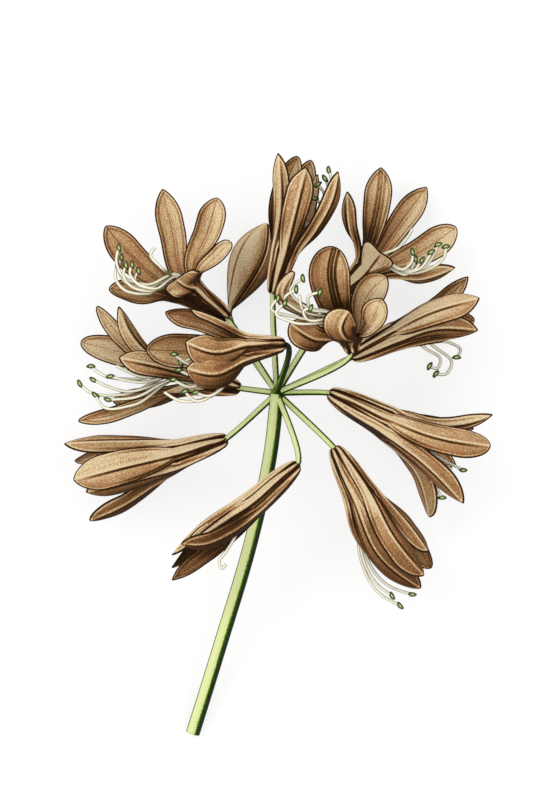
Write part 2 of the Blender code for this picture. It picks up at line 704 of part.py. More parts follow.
def add_anther(place, along, turn_seen, home):
    """An anther on the end of its filament, across it or at a given turn."""
    cross = unit(np.cross(along, (0.0, 0.0, 1.0)))
    if turn_seen is not None:
        cross = (np.cos(np.radians(turn_seen)), np.sin(np.radians(turn_seen)), 0.0)

    def build(shape):
        bmesh.ops.create_uvsphere(shape, u_segments=4, v_segments=3, radius=0.5)
        bmesh.ops.scale(shape, vec=Vector((ANTHER_WIDTH, ANTHER_WIDTH, ANTHER_LENGTH)), verts=shape.verts)
        turn = Vector((0.0, 0.0, 1.0)).rotation_difference(Vector(cross)).to_matrix()
        bmesh.ops.rotate(shape, verts=shape.verts, matrix=turn)
        bmesh.ops.translate(shape, verts=shape.verts, vec=Vector(place))

    return add_object("anther", mesh_from("anther", build), home)


def stamen_path(bloom, stamen, ring, spot):
    """The points along a filament, from its place on the throat's disc to its end."""
    axis, right, upper = bloom_axes(bloom)
    root = np.array(bloom.throat) + axis * (JOINT_GAP + DISC_DEPTH / 2)
    root += ring * (right * np.cos(spot) + upper * np.sin(spot))
    segments = FILAMENT_SEGMENTS + len(stamen.via)
    fractions = np.linspace(0.0, 1.0, segments + 1)
    return smooth_path([root, root + axis * FILAMENT_RISE, *stamen.via, stamen.tip], fractions)


def add_stamens(bloom, section, home, spare):
    """A bloom's six stamens and its style, on one small disc in the throat."""
    axis, _, _ = bloom_axes(bloom)

    def build(shape):
        bmesh.ops.create_cone(
            shape, cap_ends=True, segments=DISC_SIDES, depth=DISC_DEPTH,
            radius1=DISC_RADIUS, radius2=DISC_RADIUS,
        )
        turn = Vector((0.0, 0.0, 1.0)).rotation_difference(Vector(axis)).to_matrix()
        bmesh.ops.rotate(shape, verts=shape.verts, matrix=turn)
        centre = np.array(bloom.throat) + axis * (JOINT_GAP + DISC_DEPTH / 2)
        bmesh.ops.translate(shape, verts=shape.verts, vec=Vector(centre))

    body = add_object("disc", mesh_from("disc", build), home)
    for i, stamen in enumerate(bloom.stamens):
        spot = 2 * np.pi * i / len(bloom.stamens)
        path = stamen_path(bloom, stamen, FILAMENT_RING, spot)
        add_tube("filament", path, np.full(len(path), FILAMENT_RADIUS), section, spare)
        add_anther(path[-1], path[-1] - path[-2], stamen.turn, spare)
    path = stamen_path(bloom, bloom.style, 0.0, 0.0)
    add_tube("style", path, np.full(len(path), FILAMENT_RADIUS), section, spare)
    return joined(f"stamens_{bloom.name}", body, spare, home, "stamen")


def add_bud(bud, home):
    """A closed bud: a sphere drawn out along its axis, with three lobes round it."""
    base, tip = np.array(bud.base), np.array(bud.tip)
    axis = unit(tip - base)
    right = unit(np.cross(axis, (0.0, 0.0, 1.0)))
    upper = np.cross(right, axis)

    def build(shape):
        bmesh.ops.create_uvsphere(shape, u_segments=BUD_SEGMENTS, v_segments=BUD_RINGS, radius=1.0)
        for vert in shape.verts:
            x, y, z = vert.co
            u = np.arccos(np.clip(-z, -1.0, 1.0)) / np.pi
            spot = np.arctan2(y, x)
            full = np.sin(np.pi * u**BUD_LEAN) ** 0.9
            neck = BUD_NECK * (1 - u) * np.sin(np.pi * u) ** 0.3
            girth = bud.radius * (full + neck)
            girth *= 1 - BUD_LOBE * (1 - abs(np.cos(1.5 * (spot - BUD_LOBE_TURN))) ** 0.5)
            across = upper * np.cos(spot) + right * np.sin(spot)
            vert.co = Vector(base + (tip - base) * u + across * girth)

    thing = add_object(f"bud_{bud.name}", mesh_from("bud", build), home)
    thing.data.materials.append(make_material("petal"))
    thing.data.shade_smooth()
    return thing


def add_stalk(sections, home, spare):
    """The stalk, with the receptacle at its top and a stem to every bloom and bud."""
    even = np.linspace(0.0, 1.0, STALK_SEGMENTS + 1)
    path = smooth_path(STALK_ROUTE, even)
    body = add_tube("stalk", path, np.full(len(path), STALK_RADIUS), sections[STALK_SIDES], home)

    def build(shape):
        bmesh.ops.create_icosphere(shape, subdivisions=2, radius=RECEPTACLE_RADIUS)
        bmesh.ops.translate(shape, verts=shape.verts, vec=Vector(HUB))

    add_object("receptacle", mesh_from("receptacle", build), spare)
    ends = [(b.base, b.throat) for b in BLOOMS] + [(b.base, b.tip) for b in BUDS]
    t = np.array(STEM_STEPS)[:, None]
    for base, ahead in ends:
        axis = unit(np.subtract(ahead, base))
        start = np.array(HUB)
        end = np.array(base) - axis * JOINT_GAP
        straight = unit(end - start)
        reach = (STEM_REACH + STEM_TURN_REACH * (1 - straight @ axis)) * np.linalg.norm(end - start)
        leave = start + straight * reach
        arrive = end - axis * reach
        path = (1 - t) ** 3 * start + 3 * t * (1 - t) ** 2 * leave
        path += 3 * t**2 * (1 - t) * arrive + t**3 * end
        radii = np.linspace(STEM_RADIUS, STEM_FOOT_RADIUS, len(path))
        add_tube("stem", path, radii, sections[STEM_SIDES], spare)
    return joined("flower_stalk", body, spare, home, "stem")


def main():
    """Builds the flower head."""
    clear_scene()
    names = ("agapanthus_flower_head", "pieces_to_join", "tube_sections")
    home, spare, guides = (bpy.data.collections.new(name) for name in names)
    for collection in (home, spare, guides):
        bpy.context.scene.collection.children.link(collection)
    sections = {sides: add_section(sides, guides) for sides in (STALK_SIDES, STEM_SIDES, FILAMENT_SIDES)}
    add_stalk(sections, home, spare)
    for bloom in BLOOMS:
        add_petals(bloom, home, spare)
        add_stamens(bloom, sections[FILAMENT_SIDES], home, spare)
    for bud in BUDS:
        add_bud(bud, home)
    for thing in home.objects:
        for vert in thing.data.vertices:
            vert.co.x += HEAD_PLACE[0] * MM
            vert.co.y += HEAD_PLACE[1] * MM
            vert.co.z = max(vert.co.z, 0.0)
    for section in list(guides.objects):
        bpy.data.objects.remove(section, do_unlink=True)
    bpy.data.collections.remove(guides)
    bpy.data.collections.remove(spare)


if __name__ == "__main__":
    main()
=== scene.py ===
"""The dressed agapanthus flower head: eleven open blooms and two buds on one cut stalk, laid on its back.

Fine petals, stamens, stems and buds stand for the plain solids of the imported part, on a pale floor under
soft light. Places in the tables are in millimetres, measured from the point where the flower stems meet:
x to the right, y towards the head's top, and z as the height above the floor.
"""

from __future__ import annotations

import logging
from dataclasses import dataclass, field
from enum import Enum
from typing import Any, Union

import bpy
import numpy as np
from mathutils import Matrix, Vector


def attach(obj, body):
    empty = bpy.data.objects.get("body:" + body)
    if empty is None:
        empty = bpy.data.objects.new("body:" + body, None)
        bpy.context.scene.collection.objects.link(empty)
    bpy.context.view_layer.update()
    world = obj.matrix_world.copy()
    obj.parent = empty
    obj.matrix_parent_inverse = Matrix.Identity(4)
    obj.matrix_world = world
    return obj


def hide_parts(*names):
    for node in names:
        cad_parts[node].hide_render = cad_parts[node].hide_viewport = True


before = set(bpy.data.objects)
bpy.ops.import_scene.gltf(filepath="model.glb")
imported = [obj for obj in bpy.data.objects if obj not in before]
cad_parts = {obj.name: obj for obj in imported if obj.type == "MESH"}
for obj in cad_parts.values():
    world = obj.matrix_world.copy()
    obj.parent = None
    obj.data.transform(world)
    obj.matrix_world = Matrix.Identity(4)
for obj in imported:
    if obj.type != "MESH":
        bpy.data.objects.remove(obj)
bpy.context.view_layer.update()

Vec = tuple[float, float, float]
Grid = np.ndarray
Number = Union["Signal", float]

LOG = logging.getLogger("flower_head")
BODY = "root"
MM = 0.001
TINY = 1e-9
HEAD_PLACE = (-0.44, 17.49)

# The photograph's frame, and where the hub of the stems stands in it
PHOTO_WIDTH = 545
PHOTO_HEIGHT = 800
PIXELS_PER_MM = 3.0
HUB_PIXEL = (277.0, 393.0)

# The green stalk
STALK_RADIUS = 2.35
STEM_RADIUS = 1.08
STEM_FOOT_RADIUS = 0.95
RECEPTACLE_RADIUS = 2.1
RECEPTACLE_HALF_LENGTH = 2.4
RECEPTACLE_AXIS = (0.0, 0.35, 0.94)
HUB = (0.0, 0.0, 30.0)
STALK_ROUTE = ((-28.2, -114.0, 2.0), (-19.3, -85.3, 9.6), (-8.2, -47.7, 19.2), (-2.0, -19.0, 26.0), HUB)
STEM_REACH = 0.08
STEM_TURN_REACH = 0.14
STEM_SEAT = 0.8

# The tube of a bloom, with the height and the girth of the points at its foot, and its petals
TUBE_BASE_RADIUS = 1.75
TUBE_RIDGE_HALF_ANGLE = 0.52
TUBE_FOOT = ((0.05, 0.5), (0.55, 1.45), (1.9, TUBE_BASE_RADIUS + 0.18))
PETAL_WIDEST = 0.7
WHORL_STEP = 0.55

# The stamens
FILAMENT_RING = 1.45
FILAMENT_RADIUS = 0.64
FILAMENT_TIP_RADIUS = 0.52
THROAT_DISC = 0.75
FILAMENT_DEPTH = 5.0
FILAMENT_GATHER = 0.4
FILAMENT_STRAIGHT = 4.0
ANTHER_LENGTH = 3.3
ANTHER_WIDTH = 1.8
ANTHER_BEND = 0.18
ANTHER_GROOVE = 0.22
ANTHER_GROOVE_WIDTH = 0.28

# Where the drawn light comes from
SUN = (-0.52, 0.48, 0.71)
STEM_SUN = (-0.55, 0.3, 0.78)
UP = (0.0, 0.0, 1.0)

# A band of painted shade, drawn as a dark outline where a side turns away from straight above, by the
# cosine of its slope
FLANK_SHADE_WIDTH = 0.22
PETAL_FLANK_SHADE = 0.22
PETAL_FLANK_SHADE_DEPTH = 0.6
BUD_FLANK_SHADE = 0.15
BUD_FLANK_SHADE_DEPTH = 0.8


@dataclass(frozen=True)
class Petal:
    """One petal: its angle round the bloom's tube, its tip and width, and how it bends.

    Angles are in degrees, seen from the bloom's base: 0 to its right, 90 to its upper side. The blade turns
    its outer side to the angle face, when that is given. Cup is half the angle of its rolled section, bow
    and via bend its midline, wave and ripple raise and lower its rim, and a low blunt rounds its tip. Tone
    makes it lighter above 0 and darker below, and stripe draws the dark lines of its inner side.
    """

    angle: float
    tip: Vec
    width: float
    face: float | None = None
    cup: float = 32.0
    bow: float = 0.09
    wave: float = 0.0
    via: tuple[Vec, ...] = ()
    tone: float = 0.0
    ripple: float = 0.22
    blunt: float = 0.82
    stripe: float = 0.0


@dataclass(frozen=True)
class Stamen:
    """One filament: where it ends, the points that it passes, and how its anther lies, seen from above.

    The turn is the angle from x to the anther's long side, in degrees. Without one it lies across the
    filament.
    """

    tip: Vec
    via: tuple[Vec, ...] = ()
    turn: float | None = None


@dataclass(frozen=True)
class BloomPlan:
    """An open bloom: where its tube starts and ends, with its petals in their order round it.

    Fill is the power by which the petals widen, and the tones make stem and petals lighter or darker.
    """

    name: str
    base: Vec
    throat: Vec
    throat_radius: float
    petals: tuple[Petal, ...]
    stamens: tuple[Stamen, ...]
    style: Stamen
    fill: float = 2.6
    stem_tone: float = 0.0
    tone: float = 0.0


@dataclass(frozen=True)
class BudPlan:
    """A closed bud, from its base to its tip."""

    name: str
    base: Vec
    tip: Vec
    radius: float


BLOOMS = (
    BloomPlan(
        "top", (-1.2, 33.8, 30.0), (2.6, 47.0, 30.0), 4.0,
        (
            Petal(
                30, (20.2, 73.7, 34.0), 6.5, face=62, via=((12.9, 54.6, 35.0), (18.2, 64.5, 36.0)),
                tone=0.05,
            ),
            Petal(90, (9.6, 75.1, 38.0), 9.2, cup=12, bow=0.1, tone=-0.25),
            Petal(150, (0.4, 79.8, 33.0), 6.4, face=112, via=((1.0, 60.0, 34.5),)),
            Petal(210, (7.0, 79.0, 23.0), 8.4, face=-100, blunt=0.6, tone=0.1),
            Petal(270, (11.3, 77.8, 18.5), 8.4, face=-85, blunt=0.6, tone=-0.15),
            Petal(330, (13.5, 73.0, 22.0), 7.0),
        ),
        (
            Stamen((17.3, 74.2, 31.0), ((14.2, 57.2, 32.4), (18.0, 71.5, 31.5)), 105),
            Stamen((13.6, 69.5, 31.0), ((13.4, 59.2, 30.8), (15.7, 66.3, 30.6)), 35),
            Stamen((12.5, 64.9, 30.0), ((12.6, 58.4, 29.9), (14.4, 63.1, 29.6)), 172),
            Stamen((7.0, 66.0, 27.0)),
            Stamen((9.5, 68.0, 27.0)),
            Stamen((16.0, 71.5, 31.5), ((13.9, 58.2, 31.7), (17.0, 69.0, 31.0)), 128),
        ),
        Stamen((8.0, 71.0, 28.0)),
        tone=0.14,
    ),
    BloomPlan(
        "front_left", (2.0, 16.0, 48.0), (-10.5, 14.5, 50.0), 4.8,
        (
            Petal(20, (-28.7, 27.4, 54.0), 7.6, via=((-18.0, 23.2, 54.0),), tone=-0.3),
            Petal(
                75, (-30.4, 17.0, 58.0), 11.4, face=82, cup=34, via=((-20.5, 13.6, 58.5),), blunt=0.9,
                tone=-0.75,
            ),
            Petal(
                128, (-30.0, 8.2, 57.0), 12.4, face=105, cup=38, via=((-20.4, 6.4, 58.5),),
                blunt=0.75, tone=-0.7,
            ),
            Petal(205, (-37.3, 0.2, 45.5), 7.0, via=((-25.0, 1.6, 44.8),), tone=0.3),
            Petal(265, (-43.5, 14.4, 41.0), 12.0, face=-92, blunt=0.55, tone=-0.3),
            Petal(325, (-37.1, 26.7, 46.0), 8.6, face=-50, blunt=0.65, tone=0.2),
        ),
        (
            Stamen((-32.0, 10.0, 47.0)),
            Stamen((-32.6, 7.6, 50.0), ((-29.0, 6.0, 50.0),), 0),
            Stamen((-30.5, 0.5, 51.0), ((-17.5, 3.0, 51.5), (-27.8, -2.3, 51.0)), 20),
            Stamen((-26.9, 0.2, 52.0), ((-16.5, 4.0, 52.5), (-23.0, -1.0, 52.5)), 10),
            Stamen((-34.3, 4.4, 49.0), ((-29.5, 2.0, 49.5),), 5),
            Stamen((-34.1, 12.8, 51.0), ((-29.0, 9.5, 50.0),), 0),
        ),
        Stamen((-37.4, 0.3, 50.0), ((-18.6, 1.2, 50.9), (-33.0, -2.3, 50.0))),
        stem_tone=-0.2,
        tone=0.38,
    ),
    BloomPlan(
        "upper_left", (-17.0, 25.3, 30.0), (-30.0, 35.2, 35.0), 5.4,
        (
            Petal(25, (-15.6, 50.4, 36.0), 5.8, face=-72, blunt=0.4, tone=0.5),
            Petal(
                78, (-33.2, 38.0, 46.0), 14.4, face=125, cup=14, via=((-30.2, 35.8, 43.6),),
                blunt=0.25, tone=1.2,
            ),
            Petal(
                165, (-55.9, 34.9, 36.0), 8.6, face=-122, via=((-43.6, 32.2, 36.6),), wave=0.5,
                blunt=0.6, tone=-0.45,
            ),
            Petal(225, (-57.2, 55.7, 24.0), 10.8, face=-95, blunt=0.7, tone=-0.25),
            Petal(280, (-38.3, 68.2, 15.0), 9.4, face=-90, tone=0.2),
            Petal(330, (-20.0, 65.3, 16.0), 9.8, face=-85, blunt=0.75, tone=0.2),
        ),
        (
            Stamen(
                (-52.5, 48.2, 45.0), ((-43.6, 36.0, 42.4), (-51.4, 39.0, 44.2), (-53.4, 44.0, 45.0)),
                100,
            ),
            Stamen(
                (-48.1, 42.6, 46.4), ((-41.0, 34.6, 44.6), (-47.0, 36.8, 45.8), (-48.9, 39.8, 46.2)),
                95,
            ),
            Stamen(
                (-46.0, 40.6, 44.2), ((-40.2, 34.4, 42.4), (-45.6, 35.4, 43.4), (-47.2, 37.9, 43.8)),
                105,
            ),
            Stamen(
                (-50.1, 42.4, 45.4), ((-42.0, 33.8, 43.2), (-48.6, 35.6, 44.6), (-51.0, 39.0, 45.2)),
                98,
            ),
            Stamen(
                (-53.0, 42.2, 43.5), ((-43.0, 33.0, 41.4), (-51.4, 34.8, 42.6), (-53.8, 38.6, 43.2)),
                92,
            ),
            Stamen(
                (-51.6, 45.0, 42.0), ((-43.5, 34.9, 39.6), (-51.0, 37.4, 41.0), (-52.6, 41.4, 41.6)),
                95,
            ),
        ),
        Stamen((-40.6, 48.3, 42.0), ((-38.6, 41.8, 41.4), (-42.0, 46.2, 42.0))),
        2.0,
    ),
    BloomPlan(
        "left", (-13.0, 1.7, 26.0), (-27.5, 4.6, 24.5), 4.6,
        (
            Petal(
                20, (-52.8, 28.8, 27.0), 6.4, face=84, cup=58,
                via=((-43.5, 13.2, 26.5), (-48.8, 19.2, 27.0)), tone=0.15,
            ),
            Petal(75, (-52.7, 11.7, 34.0), 8.8, tone=-0.1),
            Petal(
                165, (-66.4, -9.3, 19.5), 5.4, face=-98,
                via=((-46.6, -4.6, 22.4), (-57.0, -7.8, 21.0)), blunt=0.6, tone=-0.4,
            ),
            Petal(225, (-54.8, -2.6, 19.0), 8.0, face=-115, blunt=0.6, tone=-0.4),
            Petal(280, (-65.6, 17.0, 11.0), 9.8, face=-90, blunt=0.45, tone=0.6),
            Petal(
                330, (-60.2, 29.0, 18.0), 6.0, face=-75,
                via=((-43.6, 12.0, 18.5), (-52.8, 19.6, 18.5)), blunt=0.6, tone=0.3,
            ),
        ),
        (
            Stamen((-62.1, 8.9, 25.0), ((-48.0, 4.6, 26.0), (-58.1, 6.0, 25.0)), 0),
            Stamen((-55.6, 5.5, 27.0), ((-45.0, 3.6, 27.0),), 10),
            Stamen((-56.4, -2.2, 27.0), ((-48.0, -1.6, 27.0),), 165),
            Stamen((-61.3, 4.4, 24.0), ((-51.2, 0.6, 25.0),), 150),
            Stamen((-60.6, -0.7, 24.0), ((-48.0, -4.0, 26.0), (-58.0, -4.6, 25.5)), 140),
            Stamen((-65.8, 3.1, 23.0), ((-52.0, -0.6, 24.0), (-62.9, 0.5, 23.0)), 120),
        ),
        Stamen((-53.6, 9.1, 27.0), ((-45.7, 5.6, 27.0),)),
        1.5,
        stem_tone=-0.12,
        tone=0.2,
    ),
    BloomPlan(
        "lower_left", (-17.5, -15.5, 26.0), (-33.0, -20.4, 21.5), 4.6,
        (
            Petal(
                25, (-71.1, -17.1, 14.0), 7.6, face=52,
                via=((-46.0, -16.4, 20.8), (-58.0, -16.5, 17.6)), tone=-0.7,
            ),
            Petal(85, (-67.8, -28.9, 24.0), 12.4, bow=0.1, blunt=0.62, tone=-0.3),
            Petal(145, (-63.8, -33.0, 20.0), 9.6, face=122, via=((-49.0, -29.4, 21.8),), tone=-0.1),
            Petal(
                205, (-62.7, -42.6, 9.0), 7.6, face=132,
                via=((-41.0, -30.6, 15.0), (-51.0, -37.2, 11.5)), blunt=0.55, tone=-0.3,
            ),
            Petal(265, (-64.0, -30.0, 0.2), 9.0),
            Petal(325, (-67.6, -22.9, 9.0), 8.0, blunt=0.5, tone=1.3),
        ),
        (
            Stamen((-58.0, -24.0, 15.0)),
            Stamen((-57.0, -27.0, 15.0)),
            Stamen((-55.0, -29.0, 13.0)),
            Stamen((-57.0, -27.0, 10.0)),
            Stamen((-58.0, -24.5, 10.0)),
            Stamen((-60.0, -22.0, 12.0)),
        ),
        Stamen((-61.0, -26.5, 12.5)),
        tone=0.35,
    ),
    BloomPlan(
        "bottom", (6.5, -24.2, 40.0), (-8.2, -37.2, 41.3), 4.0,
        (
            Petal(25, (-34.8, -53.9, 41.0), 6.6, bow=0.04, tone=-0.1),
            Petal(80, (-30.5, -51.5, 44.5), 6.6, bow=0.04, tone=0.1),
            Petal(
                132, (-31.7, -49.9, 48.0), 7.4, via=((-16.0, -46.6, 48.2), (-24.4, -50.0, 49.2)),
                blunt=0.7, tone=-0.2,
            ),
            Petal(208, (-34.9, -62.2, 40.0), 7.2, face=-128, via=((-20.0, -51.6, 39.6),), tone=-1.0),
            Petal(265, (-32.2, -59.9, 35.0), 7.0, bow=0.04, tone=0.2),
            Petal(325, (-34.9, -58.2, 36.0), 7.0, bow=0.04, tone=0.2),
        ),
        (
            Stamen((-20.5, -46.5, 40.9)),
            Stamen((-19.5, -45.5, 42.2)),
            Stamen((-21.5, -48.0, 40.6)),
            Stamen((-19.0, -47.4, 41.2)),
            Stamen((-20.0, -48.6, 40.6)),
            Stamen((-21.5, -46.0, 40.0)),
        ),
        Stamen(
            (-16.9, -56.9, 43.2),
            ((-13.4, -46.6, 43.0), (-17.0, -52.8, 43.6), (-19.2, -56.0, 43.6), (-18.5, -58.4, 43.2)),
        ),
        tone=-0.36,
    ),
    BloomPlan(
        "lower_right", (19.4, -18.8, 28.0), (28.0, -34.6, 27.0), 5.1,
        (
            Petal(8, (30.8, -54.5, 23.0), 7.0, via=((25.0, -45.4, 27.0),), tone=-0.2),
            Petal(68, (47.9, -65.0, 27.0), 9.6, via=((33.8, -53.2, 31.5),), blunt=0.65, tone=-0.4),
            Petal(120, (48.8, -60.8, 31.0), 9.6, via=((39.2, -49.3, 35.0),), blunt=0.65, tone=0.15),
            Petal(175, (50.2, -53.0, 26.0), 8.6, face=135, bow=0.05, blunt=0.65, tone=0.1),
            Petal(235, (51.4, -58.5, 15.0), 9.0, blunt=0.45, tone=-0.3),
            Petal(288, (38.0, -58.0, 11.0), 12.0, tone=-0.9),
        ),
        (
            Stamen(
                (41.2, -71.1, 15.0), ((27.4, -45.4, 21.2), (27.8, -54.4, 16.8), (33.6, -66.4, 15.0)),
                130,
            ),
            Stamen((43.0, -57.0, 21.0)),
            Stamen((40.0, -55.0, 23.5)),
            Stamen((44.0, -53.0, 20.0)),
            Stamen(
                (45.2, -67.3, 15.5), ((30.0, -45.0, 21.4), (29.6, -53.6, 17.4), (36.4, -63.8, 15.4)),
                172,
            ),
            Stamen(
                (38.5, -67.8, 17.0), ((28.8, -43.6, 22.2), (28.2, -52.8, 18.4), (33.6, -64.0, 17.0)),
                118,
            ),
        ),
        Stamen((43.0, -51.0, 18.0)),
        tone=-0.15,
    ),
    BloomPlan(
        "right", (18.0, -0.2, 26.0), (36.4, -9.8, 24.0), 4.8,
        (
            Petal(52, (62.3, -36.7, 25.0), 9.0, via=((51.3, -25.2, 28.8),), tone=-0.25),
            Petal(108, (71.1, -17.6, 28.0), 10.6, via=((52.0, -14.2, 31.0),), blunt=0.45, tone=-0.25),
            Petal(
                170, (71.9, -7.2, 23.0), 5.2, face=72, via=((51.5, -10.4, 25.0), (62.5, -10.0, 24.4)),
                tone=0.1,
            ),
            Petal(230, (65.8, -12.0, 12.0), 7.0, bow=0.02),
            Petal(290, (60.0, -24.0, 0.2), 9.0),
            Petal(
                345, (51.1, -41.4, 12.0), 9.4, face=40, via=((47.2, -27.4, 18.0),), blunt=0.5,
                tone=-0.15,
            ),
        ),
        (
            Stamen((55.2, -35.0, 16.0), ((49.0, -25.0, 19.0),), 0),
            Stamen((62.1, -25.7, 20.0), ((50.8, -19.7, 21.6),), 172),
            Stamen((53.5, -18.5, 17.0)),
            Stamen((52.0, -17.0, 15.0)),
            Stamen((55.0, -23.0, 13.0)),
            Stamen((54.0, -26.0, 14.0)),
        ),
        Stamen((58.5, -25.5, 19.0), ((49.6, -20.5, 20.4),)),
        tone=0.35,
    ),
    BloomPlan(
        "right_upper", (25.7, 12.3, 24.0), (39.0, 18.6, 22.0), 3.9,
        (
            Petal(20, (62.5, 19.2, 21.0), 6.8, via=((51.5, 17.4, 24.0),)),
            Petal(70, (67.0, 21.0, 25.0), 8.0, via=((53.0, 21.6, 28.0),), tone=-0.2),
            Petal(120, (67.5, 31.6, 26.0), 10.6, face=118, cup=40, via=((50.0, 26.6, 29.5),), tone=-0.05),
            Petal(
                185, (63.9, 38.9, 14.0), 6.6, face=-78, via=((50.0, 26.6, 17.5), (57.4, 32.0, 16.0)),
                tone=-0.4,
            ),
            Petal(245, (66.3, 24.4, 0.2), 8.5, blunt=0.55),
            Petal(328, (57.2, 18.4, 15.5), 7.0, bow=0.04, tone=-0.15),
        ),
        (
            Stamen(
                (51.1, 9.0, 11.0),
                ((45.0, 18.6, 13.6), (50.2, 14.6, 8.6), (54.8, 11.2, 8.6), (53.6, 8.2, 9.8)), 60,
            ),
            Stamen((53.5, 21.5, 20.0)),
            Stamen((52.0, 22.4, 20.6)),
            Stamen((52.5, 20.6, 18.6)),
            Stamen(
                (53.2, 6.4, 10.0),
                ((47.0, 19.4, 12.6), (53.4, 15.0, 7.0), (58.6, 10.2, 7.0), (56.6, 6.4, 8.4)), 50,
            ),
            Stamen(
                (60.1, 11.9, 13.0),
                ((44.5, 20.0, 15.2), (49.5, 17.2, 10.2), (57.4, 17.0, 9.4), (61.4, 14.6, 10.8)), 0,
            ),
        ),
        Stamen((55.5, 21.8, 19.0)),
        stem_tone=-0.2,
        tone=0.2,
    ),
    BloomPlan(
        "centre", (24.9, 13.9, 44.0), (24.0, 18.8, 45.5), 4.0,
        (
            Petal(
                20, (34.6, 31.2, 55.0), 9.8, face=-70, cup=30, via=((30.6, 22.2, 52.0),), blunt=0.55,
                tone=0.1,
            ),
            Petal(
                82, (23.6, 27.4, 58.0), 12.0, cup=30, via=((22.4, 18.4, 53.5), (21.0, 21.6, 57.0)),
                blunt=0.6, tone=-0.2,
            ),
            Petal(
                140, (4.4, 23.2, 54.0), 10.4, face=80, via=((12.4, 18.0, 53.2),), wave=0.6,
                blunt=0.55, tone=-0.8,
            ),
            Petal(
                200, (5.5, 40.3, 52.0), 5.0, face=80, via=((9.6, 26.6, 46.5), (1.8, 32.4, 50.0)),
                blunt=0.4, tone=0.5,
            ),
            Petal(
                265, (19.0, 48.4, 52.0), 14.2, face=-90, cup=26,
                via=((18.8, 31.0, 48.5), (17.4, 41.0, 51.0)), blunt=0.46, stripe=1.0, tone=-0.5,
            ),
            Petal(
                325, (36.3, 38.6, 52.0), 11.0, face=-88, via=((30.0, 32.0, 47.5),), wave=0.3,
                blunt=0.5, tone=0.4,
            ),
        ),
        (
            Stamen((14.2, 33.3, 57.0), ((18.0, 26.6, 52.8), (10.6, 28.4, 55.6), (10.4, 31.8, 56.6)), 75),
            Stamen((11.2, 28.0, 59.0), ((17.4, 24.4, 53.8), (9.6, 24.8, 57.6), (8.8, 27.2, 58.6)), 72),
            Stamen((2.6, 29.7, 57.4), ((17.0, 23.2, 52.2), (4.6, 23.6, 56.8), (-0.4, 26.4, 57.4)), 62),
            Stamen((0.4, 31.4, 54.6), ((16.0, 23.6, 50.8), (6.0, 25.2, 53.6), (-1.9, 28.2, 54.6)), 85),
            Stamen((6.4, 34.3, 57.0), ((15.8, 25.4, 49.6), (7.6, 27.0, 53.2), (2.6, 31.6, 56.4)), 88),
            Stamen((8.6, 38.0, 54.6), ((16.8, 27.0, 50.2), (8.6, 29.0, 52.0), (4.4, 34.2, 53.6)), 100),
        ),
        Stamen((7.5, 32.4, 58.6), ((16.6, 25.2, 51.4), (8.4, 27.8, 57.0))),
        1.5,
        tone=0.46,
    ),
    BloomPlan(
        "upper_right", (19.7, 32.0, 18.0), (31.0, 42.6, 24.0), 5.0,
        (
            Petal(5, (59.4, 42.0, 22.0), 7.0, face=45, wave=0.4, tone=0.2),
            Petal(88, (34.2, 47.0, 36.0), 12.6, cup=30, bow=0.02, blunt=0.3, tone=0.6),
            Petal(165, (23.5, 67.1, 27.0), 5.2, face=110, via=((24.4, 55.0, 29.0),), tone=-1.1),
            Petal(
                215, (34.8, 75.5, 12.0), 9.8, face=-83, via=((31.6, 55.0, 17.0), (33.6, 64.0, 14.5)),
                stripe=0.6, tone=-0.45,
            ),
            Petal(265, (50.2, 69.0, 4.0), 9.2, face=-90, tone=-0.2),
            Petal(315, (60.0, 55.6, 10.0), 10.6, face=-90, blunt=0.65, tone=0.3),
        ),
        (
            Stamen((48.3, 44.2, 31.0), ((38.6, 42.2, 28.6), (44.6, 40.2, 30.2)), 60),
            Stamen((45.2, 46.9, 32.6), ((37.8, 43.0, 30.2), (42.2, 41.2, 31.6), (44.8, 43.6, 32.2)), 105),
            Stamen((46.3, 44.5, 29.4), ((37.8, 41.8, 28.0), (43.2, 39.6, 29.2)), 95),
            Stamen((51.4, 46.9, 31.0), ((39.8, 41.4, 29.6), (47.2, 41.2, 30.6)), 35),
            Stamen((56.3, 48.8, 28.2), ((39.6, 40.6, 27.4), (50.4, 41.2, 28.0), (55.8, 45.5, 28.2)), 12),
            Stamen((53.7, 49.4, 29.4), ((39.4, 41.2, 28.2), (48.9, 41.8, 29.2)), 25),
        ),
        Stamen((45.2, 54.8, 28.0), ((40.6, 48.6, 26.8),)),
        1.5,
        tone=0.62,
    ),
)

BUDS = (
    BudPlan("upper_left", (-15.8, 27.8, 8.1), (-3.2, 57.3, 4.1), 7.0),
    BudPlan("centre", (10.5, 16.5, 28.0), (19.0, 23.6, 30.0), 2.6),
)


class Tint(Enum):
    """The colours of the flower head, as screen values from 0 to 255. Many of them are the shaded and lit
    tones of painted light and shade.
    """

    PETAL_LINE = (28, 12, 0)
    PETAL_DEEP = (74, 45, 14)
    PETAL_SHADE = (118, 82, 48)
    PETAL_ROSE = (158, 98, 62)
    PETAL_MIDDLE = (167, 123, 80)
    PETAL_LIGHT = (203, 168, 122)
    PETAL_PALE = (230, 208, 167)
    STEM_LINE = (16, 34, 0)
    STEM_DARK = (46, 74, 10)
    STEM_MIDDLE = (112, 142, 48)
    STEM_LIT = (198, 214, 118)
    STEM_PALE = (225, 232, 168)
    FILAMENT = (253, 248, 224)
    FILAMENT_SHADE = (168, 156, 104)
    FILAMENT_LINE = (46, 42, 14)
    ANTHER = (42, 72, 16)
    ANTHER_DARK = (16, 36, 6)
    ANTHER_HIGHLIGHT = (196, 214, 124)
    PAPER = (146, 146, 145)

    def linear(self) -> tuple[float, float, float, float]:
        """The colour as linear light.

        Returns:
            Red, green, blue and an alpha of one.
        """
        share = np.array(self.value) / 255.0
        light = np.where(share <= 0.04045, share / 12.92, ((share + 0.055) / 1.055) ** 2.4)
        return (*(float(part) for part in light), 1.0)


# Shapes worked out on grids


def unit(vector: Any) -> Grid:
    """The vector at length one."""
    vector = np.asarray(vector, float)
    return vector / np.linalg.norm(vector)


